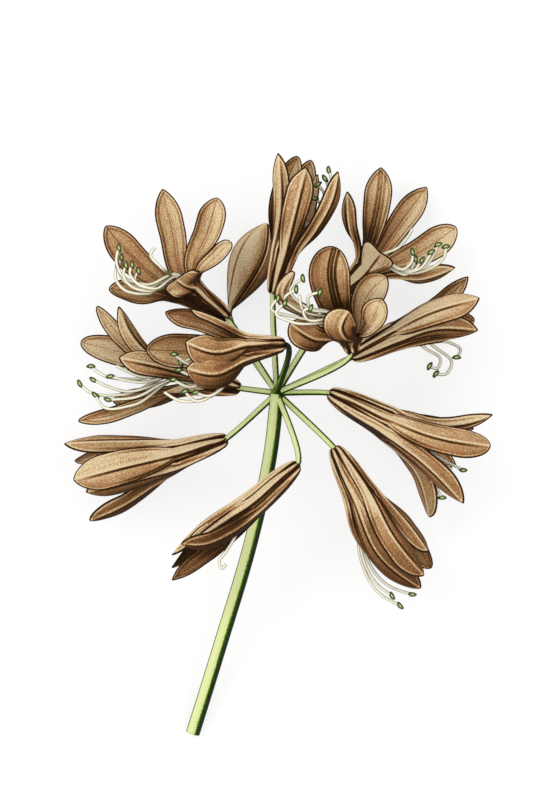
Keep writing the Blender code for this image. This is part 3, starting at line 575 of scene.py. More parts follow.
def units(vectors: Grid) -> Grid:
    """Each vector of a grid at length one."""
    return vectors / np.maximum(np.linalg.norm(vectors, axis=-1, keepdims=True), TINY)


def run_along(path: Grid) -> Grid:
    """The length from a path's start to each of its points."""
    return np.concatenate(([0.0], np.cumsum(np.linalg.norm(np.diff(path, axis=0), axis=1))))


def smooth_path(points: Any, fractions: Any) -> Grid:
    """Points on a smooth curve through the given ones, at fractions of its length.

    Each stretch is a cubic Hermite curve, whose slopes at the given points weigh both neighbours by
    their distance.

    Args:
        points: The places that the curve passes.
        fractions: Shares of the whole length, from 0 to 1.

    Returns:
        One row of three coordinates for each fraction.
    """
    given = np.array(points, float)
    gaps = np.linalg.norm(np.diff(given, axis=0), axis=1)
    knots = np.concatenate(([0.0], np.cumsum(gaps)))
    slope = np.diff(given, axis=0) / gaps[:, None]
    tangent = np.empty_like(given)
    before, after = gaps[:-1, None], gaps[1:, None]
    tangent[1:-1] = (slope[:-1] * after + slope[1:] * before) / (before + after)
    tangent[0] = slope[0] if len(gaps) == 1 else (3 * slope[0] - tangent[1]) / 2
    tangent[-1] = slope[-1] if len(gaps) == 1 else (3 * slope[-1] - tangent[-2]) / 2
    place = np.asarray(fractions, float) * knots[-1]
    stretch = np.clip(np.searchsorted(knots, place, side="right") - 1, 0, len(gaps) - 1)
    size = gaps[stretch][:, None]
    t = (place - knots[stretch])[:, None] / size
    return (
        (1 + 2 * t) * (1 - t) ** 2 * given[stretch]
        + t * (1 - t) ** 2 * size * tangent[stretch]
        + t**2 * (3 - 2 * t) * given[stretch + 1]
        + t**2 * (t - 1) * size * tangent[stretch + 1]
    )


def carried_normals(path: Grid, first: Grid) -> tuple[Grid, Grid]:
    """The first normal carried along a path with no twist, with the path's tangents.

    At each point, the normal before it loses its part along the tangent there.

    Args:
        path: The path's points.
        first: The normal at its start.

    Returns:
        The tangents and the normals, one of each for a point.
    """
    tangents = units(np.gradient(path, axis=0))
    normals = np.empty_like(path)
    normal = first
    for i, tangent in enumerate(tangents):
        normal = unit(normal - tangent * np.dot(normal, tangent))
        normals[i] = normal
    return tangents, normals


def smoothstep(low: float, high: float, value: Any) -> Grid:
    """A soft step from 0 at low to 1 at high: 3 s squared less 2 s cubed."""
    share = np.clip((np.asarray(value, float) - low) / (high - low), 0.0, 1.0)
    return share**2 * (3.0 - 2.0 * share)


def bell(value: Any, width: float) -> Grid:
    """A hump of height one at zero: e to the power of minus the square of value over width."""
    return np.exp(-((np.asarray(value, float) / width) ** 2))


def sheet_normals(sheet: Grid, towards: Grid) -> Grid:
    """The unit normals of a grid of points, on the side of the given directions: one for each row.

    A normal is the cross product of the steps to the next row and to the next column.

    Args:
        sheet: The points, in rows.
        towards: A direction for each row, on the side that its normals should have.

    Returns:
        A normal for each point.
    """
    normals = units(np.cross(np.gradient(sheet, axis=1), np.gradient(sheet, axis=0)))
    side = np.sign((normals * towards[:, None, :]).sum(axis=2, keepdims=True))
    middle = side[:, side.shape[1] // 2][:, None, :]
    return normals * np.where(middle == 0, 1.0, middle)


def grain_place(across: Any, run: Grid, apart: Any) -> Grid:
    """Each point's place in the grain of a strand: across it, along it, and apart from the other strands.

    Args:
        across: The place across, for each column or each point.
        run: The length along the strand, for each row.
        apart: A number that differs between strands, for all points or for each.

    Returns:
        Three coordinates for each point.
    """
    return np.stack(np.broadcast_arrays(across, run[:, None], apart), axis=-1)


@dataclass
class Skin:
    """A closed skin: rings of points along a path, each joined to the next, and a point at either end.

    Marks are values on every point, which its finish reads by name: one number, or three.
    """

    rings: Grid
    marks: dict[str, Grid] = field(default_factory=dict)

    def inside_out(self) -> bool:
        """Whether the rings run the wrong way, which makes the sum of the triple products negative.

        Returns:
            True when the faces have to be turned.
        """
        corner = self.rings - self.rings.reshape(-1, 3).mean(axis=0)
        a, b = corner[:-1], np.roll(corner, -1, axis=1)[:-1]
        c, d = np.roll(corner, -1, axis=1)[1:], corner[1:]
        return bool((a * np.cross(b, c)).sum() + (a * np.cross(c, d)).sum() < 0)

    def facing(self, light: Vec) -> Grid:
        """The cosine of the angle between the skin's outward normal and the light, at each point.

        A normal is the cross product of the steps round the ring and along the path.

        Args:
            light: The direction to the light.

        Returns:
            The cosines, in rings.
        """
        steps = np.roll(self.rings, -1, axis=1) - np.roll(self.rings, 1, axis=1)
        normals = units(np.cross(steps, np.gradient(self.rings, axis=0)))
        return (normals @ unit(light)) * (-1.0 if self.inside_out() else 1.0)

    def points(self) -> Grid:
        """Every ring's points in turn, then the middle of the first ring and of the last."""
        ends = np.stack((self.rings[0].mean(axis=0), self.rings[-1].mean(axis=0)))
        return np.concatenate((self.rings.reshape(-1, 3), ends))

    def values(self, name: str) -> Grid:
        """A mark's value at each point.

        Args:
            name: The mark.

        Returns:
            The values, in the order of points.
        """
        mark = self.marks[name]
        rows, ring = self.rings.shape[:2]
        ends = np.stack((mark[0].mean(axis=0), mark[-1].mean(axis=0)))
        return np.concatenate((mark.reshape(rows * ring, *mark.shape[2:]), ends))

    def faces(self) -> tuple[Grid, Grid]:
        """The skin's faces, pointing outwards.

        Returns:
            Four corners of each face between two rings, and three of each face at the ends.
        """
        rows, ring = self.rings.shape[:2]
        corner = np.arange(rows * ring).reshape(rows, ring)
        right = np.roll(corner, -1, axis=1)
        quads = np.stack((corner[:-1], right[:-1], right[1:], corner[1:]), axis=-1).reshape(-1, 4)
        first, last = np.full(ring, rows * ring), np.full(ring, rows * ring + 1)
        fans = np.concatenate((
            np.stack((right[0], corner[0], first), axis=-1),
            np.stack((corner[-1], right[-1], last), axis=-1),
        ))
        if self.inside_out():
            quads, fans = quads[:, ::-1], fans[:, ::-1]
        return quads, fans


def add_piece(name: str, skins: list[Skin], material: bpy.types.Material) -> bpy.types.Object:
    """Puts several skins into one mesh, in its place in the frame, and makes it a piece.

    Args:
        name: The piece's name.
        skins: Closed skins in millimetres, all with the same marks.
        material: What the piece wears.

    Returns:
        The new object, which rides on the body.
    """
    points, quads, fans, start = [], [], [], 0
    for skin in skins:
        these = skin.points()
        four, three = skin.faces()
        points.append(these)
        quads.append(four + start)
        fans.append(three + start)
        start += len(these)
    places = np.concatenate(points) + (*HEAD_PLACE, 0.0)
    places[:, 2] = np.maximum(places[:, 2], 0.0)
    four, three = np.concatenate(quads), np.concatenate(fans)
    mesh = bpy.data.meshes.new(name)
    mesh.vertices.add(len(places))
    mesh.vertices.foreach_set("co", (places * MM).astype(np.float32).ravel())
    mesh.loops.add(four.size + three.size)
    mesh.loops.foreach_set("vertex_index", np.concatenate((four.ravel(), three.ravel())).astype(np.int32))
    starts = np.concatenate((np.arange(len(four)) * 4, four.size + np.arange(len(three)) * 3))
    mesh.polygons.add(len(four) + len(three))
    mesh.polygons.foreach_set("loop_start", starts.astype(np.int32))
    for mark in skins[0].marks:
        values = np.concatenate([skin.values(mark) for skin in skins]).astype(np.float32)
        kind, target = ("FLOAT_VECTOR", "vector") if values.ndim == 2 else ("FLOAT", "value")
        mesh.attributes.new(mark, kind, "POINT").data.foreach_set(target, values.ravel())
    mesh.update(calc_edges=True)
    mesh.validate()
    mesh.shade_smooth()
    mesh.materials.append(material)
    piece = bpy.data.objects.new(name, mesh)
    bpy.context.scene.collection.objects.link(piece)
    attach(piece, BODY)
    LOG.info("%s: %d skins, %d faces", name, len(skins), len(mesh.polygons))
    return piece


def tube_skin(path: Grid, radii: Grid, sides: int) -> Skin:
    """A round skin along a path: path + radius * (normal * cos a + side * sin a), a once round in a ring.

    Args:
        path: The middle line.
        radii: The radius at each point of the path.
        sides: The number of points in a ring.

    Returns:
        The skin, without marks.
    """
    guide = UP if abs(unit(path[1] - path[0])[2]) < 0.9 else (1.0, 0.0, 0.0)
    tangents, normals = carried_normals(path, np.array(guide))
    turn = np.linspace(0.0, 2 * np.pi, sides, endpoint=False)[None, :, None]
    around = normals[:, None, :] * np.cos(turn) + np.cross(tangents, normals)[:, None, :] * np.sin(turn)
    return Skin(path[:, None, :] + around * np.asarray(radii)[:, None, None])


# Shader maths


class Signal:
    """A number that changes over a surface: a socket on which Python's operators add Math nodes."""

    def __init__(self, wiring: "Wiring", socket: bpy.types.NodeSocket) -> None:
        """Keeps the socket and the material's wiring."""
        self.wiring = wiring
        self.socket = socket

    def maths(self, operation: str, *values: Number, clamp: bool = False) -> "Signal":
        """A Math node on this number and others.

        Args:
            operation: Blender's name of the operation.
            values: The other operands.
            clamp: Whether the result stays from 0 to 1.

        Returns:
            The result.
        """
        inputs = {i: value for i, value in enumerate(values)}
        node = self.wiring.node("ShaderNodeMath", {"operation": operation, "use_clamp": clamp}, inputs)
        return Signal(self.wiring, node.outputs[0])

    def __add__(self, other: Number) -> "Signal":
        """This number and another, added."""
        return self.maths("ADD", self, other)

    __radd__ = __add__

    def __sub__(self, other: Number) -> "Signal":
        """This number less another."""
        return self.maths("SUBTRACT", self, other)

    def __rsub__(self, other: Number) -> "Signal":
        """Another number less this one."""
        return self.maths("SUBTRACT", other, self)

    def __mul__(self, other: Number) -> "Signal":
        """This number times another."""
        return self.maths("MULTIPLY", self, other)

    __rmul__ = __mul__

    def __abs__(self) -> "Signal":
        """This number without its sign."""
        return self.maths("ABSOLUTE", self)

    def clamped(self) -> "Signal":
        """This number, kept from 0 to 1."""
        return self.maths("ADD", self, 0.0, clamp=True)

    def step(self, low: float, high: float) -> "Signal":
        """A soft step of this number.

        Args:
            low: Where the step is 0.
            high: Where it is 1, which may lie below low.

        Returns:
            The step.
        """
        node = self.wiring.node(
            "ShaderNodeMapRange",
            {"interpolation_type": "SMOOTHSTEP"},
            {"Value": self, "From Min": low, "From Max": high, "To Min": 0.0, "To Max": 1.0},
        )
        return Signal(self.wiring, node.outputs[0])

    def band(self, middle: float, half: float, soft: float) -> "Signal":
        """One where this number is within half of middle, with soft edges."""
        return 1.0 - abs(self - middle).step(half, half + soft)


class Wiring:
    """The nodes of one new material, round its Principled shader."""

    def __init__(self, name: str) -> None:
        """Makes the material and keeps its node tree and its shader.

        Args:
            name: The material's name.
        """
        self.material = bpy.data.materials.new(name)
        self.material.use_nodes = True
        self.tree = self.material.node_tree
        self.surface = self.tree.nodes["Principled BSDF"]

    def node(self, kind: str, settings: dict[str, Any], inputs: dict[Any, Any]) -> bpy.types.Node:
        """Adds one node.

        Args:
            kind: The node's type.
            settings: Its properties, which are set first; stops are a colour ramp's places and values.
            inputs: The values or links of its sockets, by name or index.

        Returns:
            The node.
        """
        made = self.tree.nodes.new(kind)
        for key, value in settings.items():
            if key == "stops":
                self.set_stops(made.color_ramp.elements, value)
            else:
                setattr(made, key, value)
        for key, value in inputs.items():
            self.feed(made.inputs[key], value)
        return made

    @staticmethod
    def set_stops(elements: Any, stops: tuple[tuple[float, Tint], ...]) -> None:
        """Gives a colour ramp its stops, of which it has two at first.

        Args:
            elements: The ramp's own stops.
            stops: The places and colours that they get.
        """
        for place, _ in stops[2:]:
            elements.new(place)
        for element, (place, tint) in zip(elements, stops):
            element.position = place
            element.color = tint.linear()

    def ramp(self, value: Number, stops: tuple[tuple[float, Tint], ...]) -> bpy.types.NodeSocket:
        """A colour by a number, between the colours of the nearest stops."""
        return self.node("ShaderNodeValToRGB", {"stops": stops}, {0: value}).outputs["Color"]

    def feed(self, socket: bpy.types.NodeSocket, value: Any) -> None:
        """Links a signal or a socket to a socket, or sets its plain value.

        Args:
            socket: The input.
            value: What it gets: a signal, a socket, a colour or a number.
        """
        if isinstance(value, Signal):
            value = value.socket
        if isinstance(value, Tint):
            value = value.linear()
        if isinstance(value, bpy.types.NodeSocket):
            self.tree.links.new(value, socket)
        else:
            socket.default_value = value

    def mark(self, name: str) -> Signal:
        """A mesh's own number, by its attribute's name."""
        return Signal(self, self.node("ShaderNodeAttribute", {"attribute_name": name}, {}).outputs["Fac"])

    def place(self, name: str, scale: Vec) -> bpy.types.NodeSocket:
        """A mesh's own vector, by its attribute's name.

        Args:
            name: The attribute.
            scale: What each part of the vector is multiplied by.

        Returns:
            The vector's socket.
        """
        given = self.node("ShaderNodeAttribute", {"attribute_name": name}, {}).outputs["Vector"]
        node = self.node("ShaderNodeVectorMath", {"operation": "MULTIPLY"}, {0: given, 1: scale})
        return node.outputs[0]

    def here(self) -> bpy.types.NodeSocket:
        """The point's place in the object's own coordinates."""
        return self.node("ShaderNodeTexCoord", {}, {}).outputs["Object"]

    def noise(self, place: bpy.types.NodeSocket, scale: float, detail: float) -> Signal:
        """A noise from 0 to 1 over a place."""
        inputs = {"Vector": place, "Scale": scale, "Detail": detail}
        return Signal(self, self.node("ShaderNodeTexNoise", {}, inputs).outputs[0])

    def blend(self, factor: Number, first: Any, second: Any) -> bpy.types.NodeSocket:
        """One colour at factor 0, the other at 1."""
        node = self.node("ShaderNodeMix", {"data_type": "RGBA"}, {0: factor, 6: first, 7: second})
        return node.outputs[2]

    def bump(self, height: Signal, distance: float, strength: float) -> None:
        """Raises the surface by a height.

        Args:
            height: The height, about from 0 to 1.
            distance: How far a height of one raises it, in metres.
            strength: The share of the relief that shows.
        """
        inputs = {"Strength": strength, "Distance": distance, "Height": height}
        node = self.node("ShaderNodeBump", {}, inputs)
        self.feed(self.surface.inputs["Normal"], node.outputs[0])


# Finishes


@dataclass(frozen=True)
class PetalFinish:
    """Brown petal with fine veins, rosy patches, a fine grain, and painted light and shade.

    Its rib has a painted shade line on its shaded side, with a painted highlight on the outer side and
    painted shade in the inner groove, and its rim is pale with a dark edge and painted shade inside it. The
    fields from light to rosiness say how much each of these changes the brightness or the colour.
    """

    vein_scale: float = 1.6
    hair_scale: float = 4.5
    grain_scale: float = 2900.0
    cloud_scale: float = 110.0
    base: float = 0.11
    light: float = 0.78
    toning: float = 0.35
    veining: float = 0.28
    hairing: float = 0.24
    graining: float = 0.8
    clouding: float = 0.2
    rosiness: float = 0.36
    roughness: float = 0.62
    stops: tuple[tuple[float, Tint], ...] = (
        (0.0, Tint.PETAL_LINE),
        (0.18, Tint.PETAL_DEEP),
        (0.4, Tint.PETAL_SHADE),
        (0.6, Tint.PETAL_MIDDLE),
        (0.8, Tint.PETAL_LIGHT),
        (1.0, Tint.PETAL_PALE),
    )

    def make(self) -> bpy.types.Material:
        """Builds the petal's material from the marks on its skins.

        Returns:
            The material.
        """
        w = Wiring("petal_brown")
        rib, rim, lit = w.mark("rib"), w.mark("rim"), w.mark("lit")
        along, inner, tone, stripe = w.mark("along"), w.mark("inner"), w.mark("tone"), w.mark("stripe")
        across = abs(rib)
        veins = w.noise(w.place("grain", (1.0, 0.03, 1.0)), self.vein_scale, 3.0)
        hairs = w.noise(w.place("grain", (1.0, 0.05, 1.0)), self.hair_scale, 2.0)
        grain = w.noise(w.here(), self.grain_scale, 1.0)
        cloud = w.noise(w.here(), self.cloud_scale, 2.0)
        outer = 1.0 - inner
        # Painted light and shade: lit is the cosine towards the fixed sun, lighter on sides facing it
        level = self.toning * tone + self.base + 0.06 * outer + self.light * lit
        level = level + self.clouding * (cloud - 0.5)
        level = level + self.veining * (veins - 0.5) + self.hairing * (hairs - 0.5)
        # Painted shade deep in the throat of the inner side, and painted light towards its tips and on the
        # lit side of the outer tube
        throat_shade = 0.3 * inner * along.step(0.5, 0.0)
        tip_light = 0.16 * inner * along.step(0.45, 1.0)
        tube_light = 0.62 * outer * along.step(0.3, 0.0) * lit
        level = level - throat_shade + tip_light + tube_light
        # Painted shade: a dark band just inside the rim, mostly on the inner side, and a darker stretch
        # near the outer rim towards the tube
        rim_band_shade = 0.28 * rim.band(1.05, 0.1, 0.7) * (0.3 + 0.7 * inner)
        rim_shade = 0.42 * rim.band(0.9, 0.4, 0.6) * along.step(0.8, 0.25) * outer
        level = level - rim_band_shade - rim_shade
        # Painted shade: a dark line on the rib's shaded flank and in the groove of the inner side; painted
        # highlight: the pale rib of the outer side
        rib_shade_line = rib.band(-0.82, 0.2, 0.34) * along.step(1.0, 0.6) * (0.62 - 0.42 * inner)
        groove_shade = 0.3 * inner * across.step(0.3, 0.12)
        rib_light = 0.36 * across.step(0.5, 0.25) * outer
        level = level - rib_shade_line - groove_shade + rib_light
        lines = rib.band(-1.9, 0.42, 0.16) + rib.band(-0.65, 0.36, 0.16) + rib.band(0.5, 0.25, 0.16)
        level = level - 0.6 * stripe * lines
        rim_light = 0.6 * inner * rim.band(0.5, 0.1, 0.2) + outer * rim.band(0.78, 0.12, 0.22)
        level = level + 0.34 * rim_light
        level = level - 0.9 * rim.step(0.42, 0.2) - 0.6 * outer * rim.step(0.62, 0.36)
        level = level + self.graining * (grain - 0.5)
        body = w.ramp(level.clamped(), self.stops)
        body = w.blend(0.24 * grain.step(0.6, 0.4), body, Tint.PETAL_SHADE)
        rosy = self.rosiness * cloud.step(0.46, 0.62) * level.band(0.6, 0.12, 0.2)
        body = w.blend(rosy, body, Tint.PETAL_ROSE)
        w.feed(w.surface.inputs["Base Color"], body)
        w.feed(w.surface.inputs["Roughness"], self.roughness + 0.14 * (grain - 0.5))
        w.surface.inputs["Specular IOR Level"].default_value = 0.05
        w.bump(veins * 0.6 + hairs * 0.3 + grain * 0.12, 0.0003, 0.6)
        return w.material


@dataclass(frozen=True)
class StemFinish:
    """Fresh green stem: a painted lit side and a painted dark side, painted shade on its flanks, lengthwise
    streaks and a fine grain.
    """

    grain_scale: float = 1600.0
    roughness: float = 0.5
    stops: tuple[tuple[float, Tint], ...] = (
        (0.12, Tint.STEM_LINE),
        (0.34, Tint.STEM_DARK),
        (0.54, Tint.STEM_MIDDLE),
        (0.7, Tint.STEM_LIT),
        (0.92, Tint.STEM_PALE),
    )

    def make(self) -> bpy.types.Material:
        """Builds the stem's material from the marks on its skins.

        Returns:
            The material.
        """
        w = Wiring("stem_green")
        lit = w.mark("lit")
        streaks = w.noise(w.place("grain", (3.0, 0.05, 1.0)), 1.0, 2.0)
        grain = w.noise(w.here(), self.grain_scale, 1.0)
        # Painted light: from the dark side to the pale lit side, by the lit mark towards the fixed stem sun
        level = 0.02 + 0.7 * lit + 0.36 * lit.step(0.38, 0.7)
        level = level + 0.25 * (streaks - 0.5) + 0.4 * (grain - 0.5)
        # Painted shade where the stem turns away from straight above, which also darkens its edges
        level = level - 0.75 * w.mark("rise").step(0.62, 0.25)
        body = w.ramp(level.clamped(), self.stops)
        w.feed(w.surface.inputs["Base Color"], body)
        w.feed(w.surface.inputs["Roughness"], self.roughness + 0.15 * (grain - 0.5))
        w.surface.inputs["Specular IOR Level"].default_value = 0.1
        w.bump(streaks * 0.7 + grain * 0.1, 0.0003, 0.6)
        return w.material


@dataclass(frozen=True)
class FilamentFinish:
    """Cream filament: a painted shaded side, a dark line along its upper flanks, and fine lengthwise lines.
    """

    grain_scale: float = 1500.0
    roughness: float = 0.45

    def make(self) -> bpy.types.Material:
        """Builds the filament's material from the marks on its skins.

        Returns:
            The material.
        """
        w = Wiring("filament_cream")
        lines = w.noise(w.place("grain", (2.5, 0.12, 1.0)), 1.0, 2.0)
        grain = w.noise(w.here(), self.grain_scale, 1.0)
        lit, rise = w.mark("lit"), w.mark("rise")
        body = w.blend(lines.step(0.5, 0.3) * 0.3, Tint.FILAMENT, Tint.FILAMENT_SHADE)
        # Painted shade on the side turned away from the fixed sun
        body = w.blend((lit + 0.2 * (grain - 0.5)).step(0.35, 0.0), body, Tint.FILAMENT_SHADE)
        body = w.blend((rise + 0.12 * (grain - 0.5)).band(0.46, 0.04, 0.26), body, Tint.FILAMENT_LINE)
        w.feed(w.surface.inputs["Base Color"], body)
        w.feed(w.surface.inputs["Roughness"], self.roughness + 0.1 * (grain - 0.5))
        w.bump(lines, 0.0002, 0.5)
        return w.material


@dataclass(frozen=True)
class AntherFinish:
    """Green anther: a painted highlight on its upper face, painted shade on its flanks, a dark groove
    between its two lobes, and a fine grain of pollen.
    """

    pollen_scale: float = 2600.0
    roughness: float = 0.6

    def make(self) -> bpy.types.Material:
        """Builds the anther's material from the marks on its skins.

        Returns:
            The material.
        """
        w = Wiring("anther_green")
        groove, lit = w.mark("groove"), w.mark("lit")
        pollen = w.noise(w.here(), self.pollen_scale, 2.0)
        # Painted highlight where the anther faces straight up, and painted shade on its flanks
        body = w.blend((lit + 0.2 * (pollen - 0.5)).step(0.88, 1.0), Tint.ANTHER, Tint.ANTHER_HIGHLIGHT)
        body = w.blend((lit + 0.3 * (pollen - 0.5)).step(0.78, 0.5), body, Tint.ANTHER_DARK)
        body = w.blend(groove * 0.35, body, Tint.ANTHER_DARK)
        w.feed(w.surface.inputs["Base Color"], body)
        w.feed(w.surface.inputs["Roughness"], self.roughness + 0.2 * (pollen - 0.5))
        w.bump(pollen, 0.0002, 0.6)
        return w.material


@dataclass(frozen=True)
class FloorFinish:
    """Pale matt paper, with faint fibres, that glows a little as on a light table."""

    glow: float = 0.74
    fibre_scale: float = 350.0
    roughness: float = 0.9

    def make(self) -> bpy.types.Material:
        """Builds the floor's material.

        Returns:
            The material.
        """
        w = Wiring("floor_paper")
        fibres = w.noise(w.here(), self.fibre_scale, 3.0)
        body = w.blend(fibres.step(0.3, 0.8) * 0.05, Tint.PAPER, Tint.PETAL_LIGHT)
        w.feed(w.surface.inputs["Base Color"], body)
        w.surface.inputs["Roughness"].default_value = self.roughness
        w.surface.inputs["Specular IOR Level"].default_value = 0.1
        w.surface.inputs["Emission Color"].default_value = (1.0, 1.0, 1.0, 1.0)
        w.surface.inputs["Emission Strength"].default_value = self.glow
        w.bump(fibres, 0.0001, 0.2)
        return w.material


# The flower head's own parts


@dataclass
class Bloom:
    """An open bloom: six petals grown together at their tube, six stamens and a style."""

    plan: BloomPlan
    petal_finish: bpy.types.Material
    filament_finish: bpy.types.Material
    anther_finish: bpy.types.Material
    seed: int
    tube_rows: int = 20
    blade_rows: int = 58
    columns: int = 29
    half_thickness: float = 0.26
    rim_half_thickness: float = 0.14
    rib_height: float = 0.34
    rib_width: float = 0.42
    fold_height: float = 0.62
    tip_half_width: float = 0.35
    bead_height: float = 0.07
    trench_depth: float = 0.1
    groove_depth: float = 0.12
    throat_sides: int = 48
    filament_sides: int = 10
    filament_steps: int = 40
    anther_sides: int = 20
    anther_steps: int = 18
    tip_crowding: float = 1.6
    rib_crowding: float = 0.55
    waves: float = 1.5
    ripples: float = 2.1

    def axes(self) -> tuple[Grid, Grid, Grid]:
        """The bloom's own directions.

        Returns:
            Its axis, and the two directions across it: to its right, and to its upper side.
        """
        axis = unit(np.subtract(self.plan.throat, self.plan.base))
        right = unit(np.cross(axis, UP))
        return axis, right, np.cross(right, axis)

    def midline(self, petal: Petal, whorl: int) -> tuple[list[Any], Grid]:
        """The points that a petal's midline passes.

        Args:
            petal: The petal.
            whorl: 1 for the outer three petals, -1 for the inner three.

        Returns:
            The points, with the throat's after those of the foot, and the petal's outward direction.
        """
        axis, right, upper = self.axes()
        turn = np.radians(petal.angle)
        out = right * np.cos(turn) + upper * np.sin(turn)
        base = np.array(self.plan.base)
        lip = np.array(self.plan.throat) + out * (self.plan.throat_radius + 0.05)
        tip = np.array(petal.tip)
        bulge = petal.bow * np.linalg.norm(tip - lip) + whorl * WHORL_STEP
        middle = petal.via or (lip + 0.5 * (tip - lip) + out * bulge,)
        foot = [base + axis * height + out * girth for height, girth in TUBE_FOOT]
        return [*foot, lip, *middle, tip], out

    @staticmethod
    def lean(face: float, tangents: Grid, normals: Grid) -> Grid:
        """The angle, at each row, from the normals to the direction that a blade's outer side should face.

        Args:
            face: The angle of that direction round the path, in degrees.
            tangents: The path's tangents.
            normals: The normals carried along it.

        Returns:
            The angles, in radians.
        """
        right = units(np.cross(tangents, UP))
        upper = np.cross(right, tangents)
        aim = right * np.cos(np.radians(face)) + upper * np.sin(np.radians(face))
        sides = np.cross(tangents, normals)
        return np.arctan2((aim * sides).sum(axis=1), (aim * normals).sum(axis=1))

    def blade(self, petal: Petal, whorl: int, index: int) -> Skin:
        """One petal, from the tube's base to its tip.

        A row on the tube is an arc of the tube's round section. Beyond the throat, with u from 0 there to
        1 at the tip, the half width grows to its full size at PETAL_WIDEST and closes to the tip, and a row
        is an arc of half angle cup round the petal's inner side. The rim rises and falls as sines along it.

        Args:
            petal: The petal's plan.
            whorl: 1 for the outer three petals, -1 for the inner three.
            index: The petal's place in the bloom.

        Returns:
            The petal's skin.
        """
        plan = self.plan
        axis, _, _ = self.axes()
        points, out = self.midline(petal, whorl)
        lengths = np.linalg.norm(np.diff(points, axis=0), axis=1)
        throat = lengths[: len(TUBE_FOOT)].sum() / lengths.sum()
        down_tube = np.linspace(0.0, throat, self.tube_rows, endpoint=False)
        u = 1.0 - (1.0 - np.linspace(0.0, 1.0, self.blade_rows)) ** self.tip_crowding
        fractions = np.concatenate((down_tube, throat + (1.0 - throat) * u))
        u = np.concatenate((np.zeros(self.tube_rows), u))
        path = smooth_path(points, fractions)
        tangents, normals = carried_normals(path, unit(0.3 * out - axis))
        opening = 1.0 - (1.0 - np.clip(u / PETAL_WIDEST, 0.0, 1.0)) ** plan.fill
        closing = np.clip((u - PETAL_WIDEST) / (1.0 - PETAL_WIDEST), 0.0, 1.0)
        lip_half = plan.throat_radius * TUBE_RIDGE_HALF_ANGLE
        half = (lip_half + (petal.width / 2 - lip_half) * opening) * (1 - closing**2) ** petal.blunt
        half = np.maximum(half, self.tip_half_width * (1 - 0.5 * closing**8))
        cup = TUBE_RIDGE_HALF_ANGLE + (np.radians(petal.cup) - TUBE_RIDGE_HALF_ANGLE) * opening
        if petal.face is not None:
            turn = (self.lean(petal.face, tangents, normals) * opening)[:, None]
            normals = normals * np.cos(turn) + np.cross(tangents, normals) * np.sin(turn)
        sides = np.cross(tangents, normals)
        even = np.linspace(-1.0, 1.0, self.columns)
        across = even - self.rib_crowding * np.sin(2 * np.pi * even) / (2 * np.pi)
        swing = cup[:, None] * across[None, :]
        radius = (half / cup)[:, None]
        rise = np.sin(2 * self.waves * np.pi * u)[:, None]
        depth = radius * (1 - np.cos(swing)) + petal.wave * across**2 * rise
        phase = 2.4 * index + 1.7 * self.seed + 1.9 * (across > 0)
        swell = np.sin(2 * self.ripples * np.pi * u[:, None] + phase[None, :])
        swell = swell * smoothstep(0.35, 0.7, u)[:, None]
        depth += petal.ripple * swell * across**4 * (1 - closing**2)[:, None]
        free = (
            path[:, None, :]
            + sides[:, None, :] * (radius * np.sin(swing))[:, :, None]
            - normals[:, None, :] * depth[:, :, None]
        )
        height = (path - plan.base) @ axis
        off = path - plan.base - height[:, None] * axis
        girth = np.linalg.norm(off, axis=1)
        beside = np.cross(axis, out)
        angle = TUBE_RIDGE_HALF_ANGLE * across
        ring = out * np.cos(angle)[:, None] + beside * np.sin(angle)[:, None]
        bound = np.array(plan.base) + height[:, None, None] * axis + girth[:, None, None] * ring[None, :, :]
        grown = smoothstep(0.45 * throat, throat, fractions)[:, None, None]
        sheet = bound * (1 - grown) + free * grown
        half = np.where(u > 0, half, np.minimum(girth * TUBE_RIDGE_HALF_ANGLE, lip_half))
        towards = normals * grown[:, :, 0] + out * (1 - grown[:, :, 0])
        return self.thickened(sheet, towards, half, u, across, petal, index)

    def thickened(
        self, sheet: Grid, towards: Grid, half: Grid, u: Grid, across: Grid, petal: Petal, index: int
    ) -> Skin:
        """A petal's skin round its middle surface, with its marks.

        The outer side stands off the middle by the half thickness and the rib's hump, less a trench on
        each side of the rib. The inner side stands off by the half thickness less a shallow groove, and
        both have a thin bead at the rim. The mark rim is the distance from the edge: along the row, over
        the root of one plus the square of the edge's slant.

        Args:
            sheet: The middle surface, in rows from the tube's base to the tip.
            towards: The direction of the outer side at each row.
            half: The half width of each row.
            u: Each row's place on the blade, from 0 at the throat to 1 at the tip.
            across: Each column's place, from -1 at the near rim to 1 at the far one.
            petal: The petal's plan.
            index: The petal's place in the bloom.

        Returns:
            The petal's skin.
        """
        rows, columns = sheet.shape[:2]
        facing = sheet_normals(sheet, towards)
        off_rib = half[:, None] * across[None, :]
        off_rim = half[:, None] * (1.0 - np.abs(across))[None, :]
        end = smoothstep(1.0, 0.8, u)[:, None]
        bead = self.bead_height * bell(off_rim - 0.15, 0.25)
        thicker = self.half_thickness - self.rim_half_thickness
        plate = self.rim_half_thickness + thicker * smoothstep(0.0, 1.2, off_rim)
        rib = self.rib_height * bell(off_rib, self.rib_width) * (0.25 + 0.75 * end)
        fold = np.cos(0.5 * np.pi * across)[None, :]
        rib += self.fold_height * fold * smoothstep(0.45, 0.0, u)[:, None]
        trench = self.trench_depth * bell(np.abs(off_rib) - 1.0, 0.35) * end
        outer = sheet + facing * (plate + bead + rib - trench)[:, :, None]
        groove = self.groove_depth * bell(off_rib, 0.5) * end
        inner = sheet - facing * (plate + bead - groove)[:, :, None]
        edge = units(np.gradient(sheet, axis=1))
        rim_far = sheet[:, -1:] + edge[:, -1:] * self.rim_half_thickness
        rim_near = sheet[:, :1] - edge[:, :1] * self.rim_half_thickness
        rings = np.concatenate((outer, rim_far, inner[:, ::-1], rim_near), axis=1)
        run = run_along(sheet[:, columns // 2])
        slant = np.gradient(half, run)[:, None]
        off_edge = off_rim / np.sqrt(1.0 + slant**2)

        def round_ring(values: Grid, far: Any, near: Any) -> Grid:
            """Values of the outer side, far rim, inner side and near rim, in the ring's order."""
            return np.concatenate((values, far, values[:, ::-1], near), axis=1)

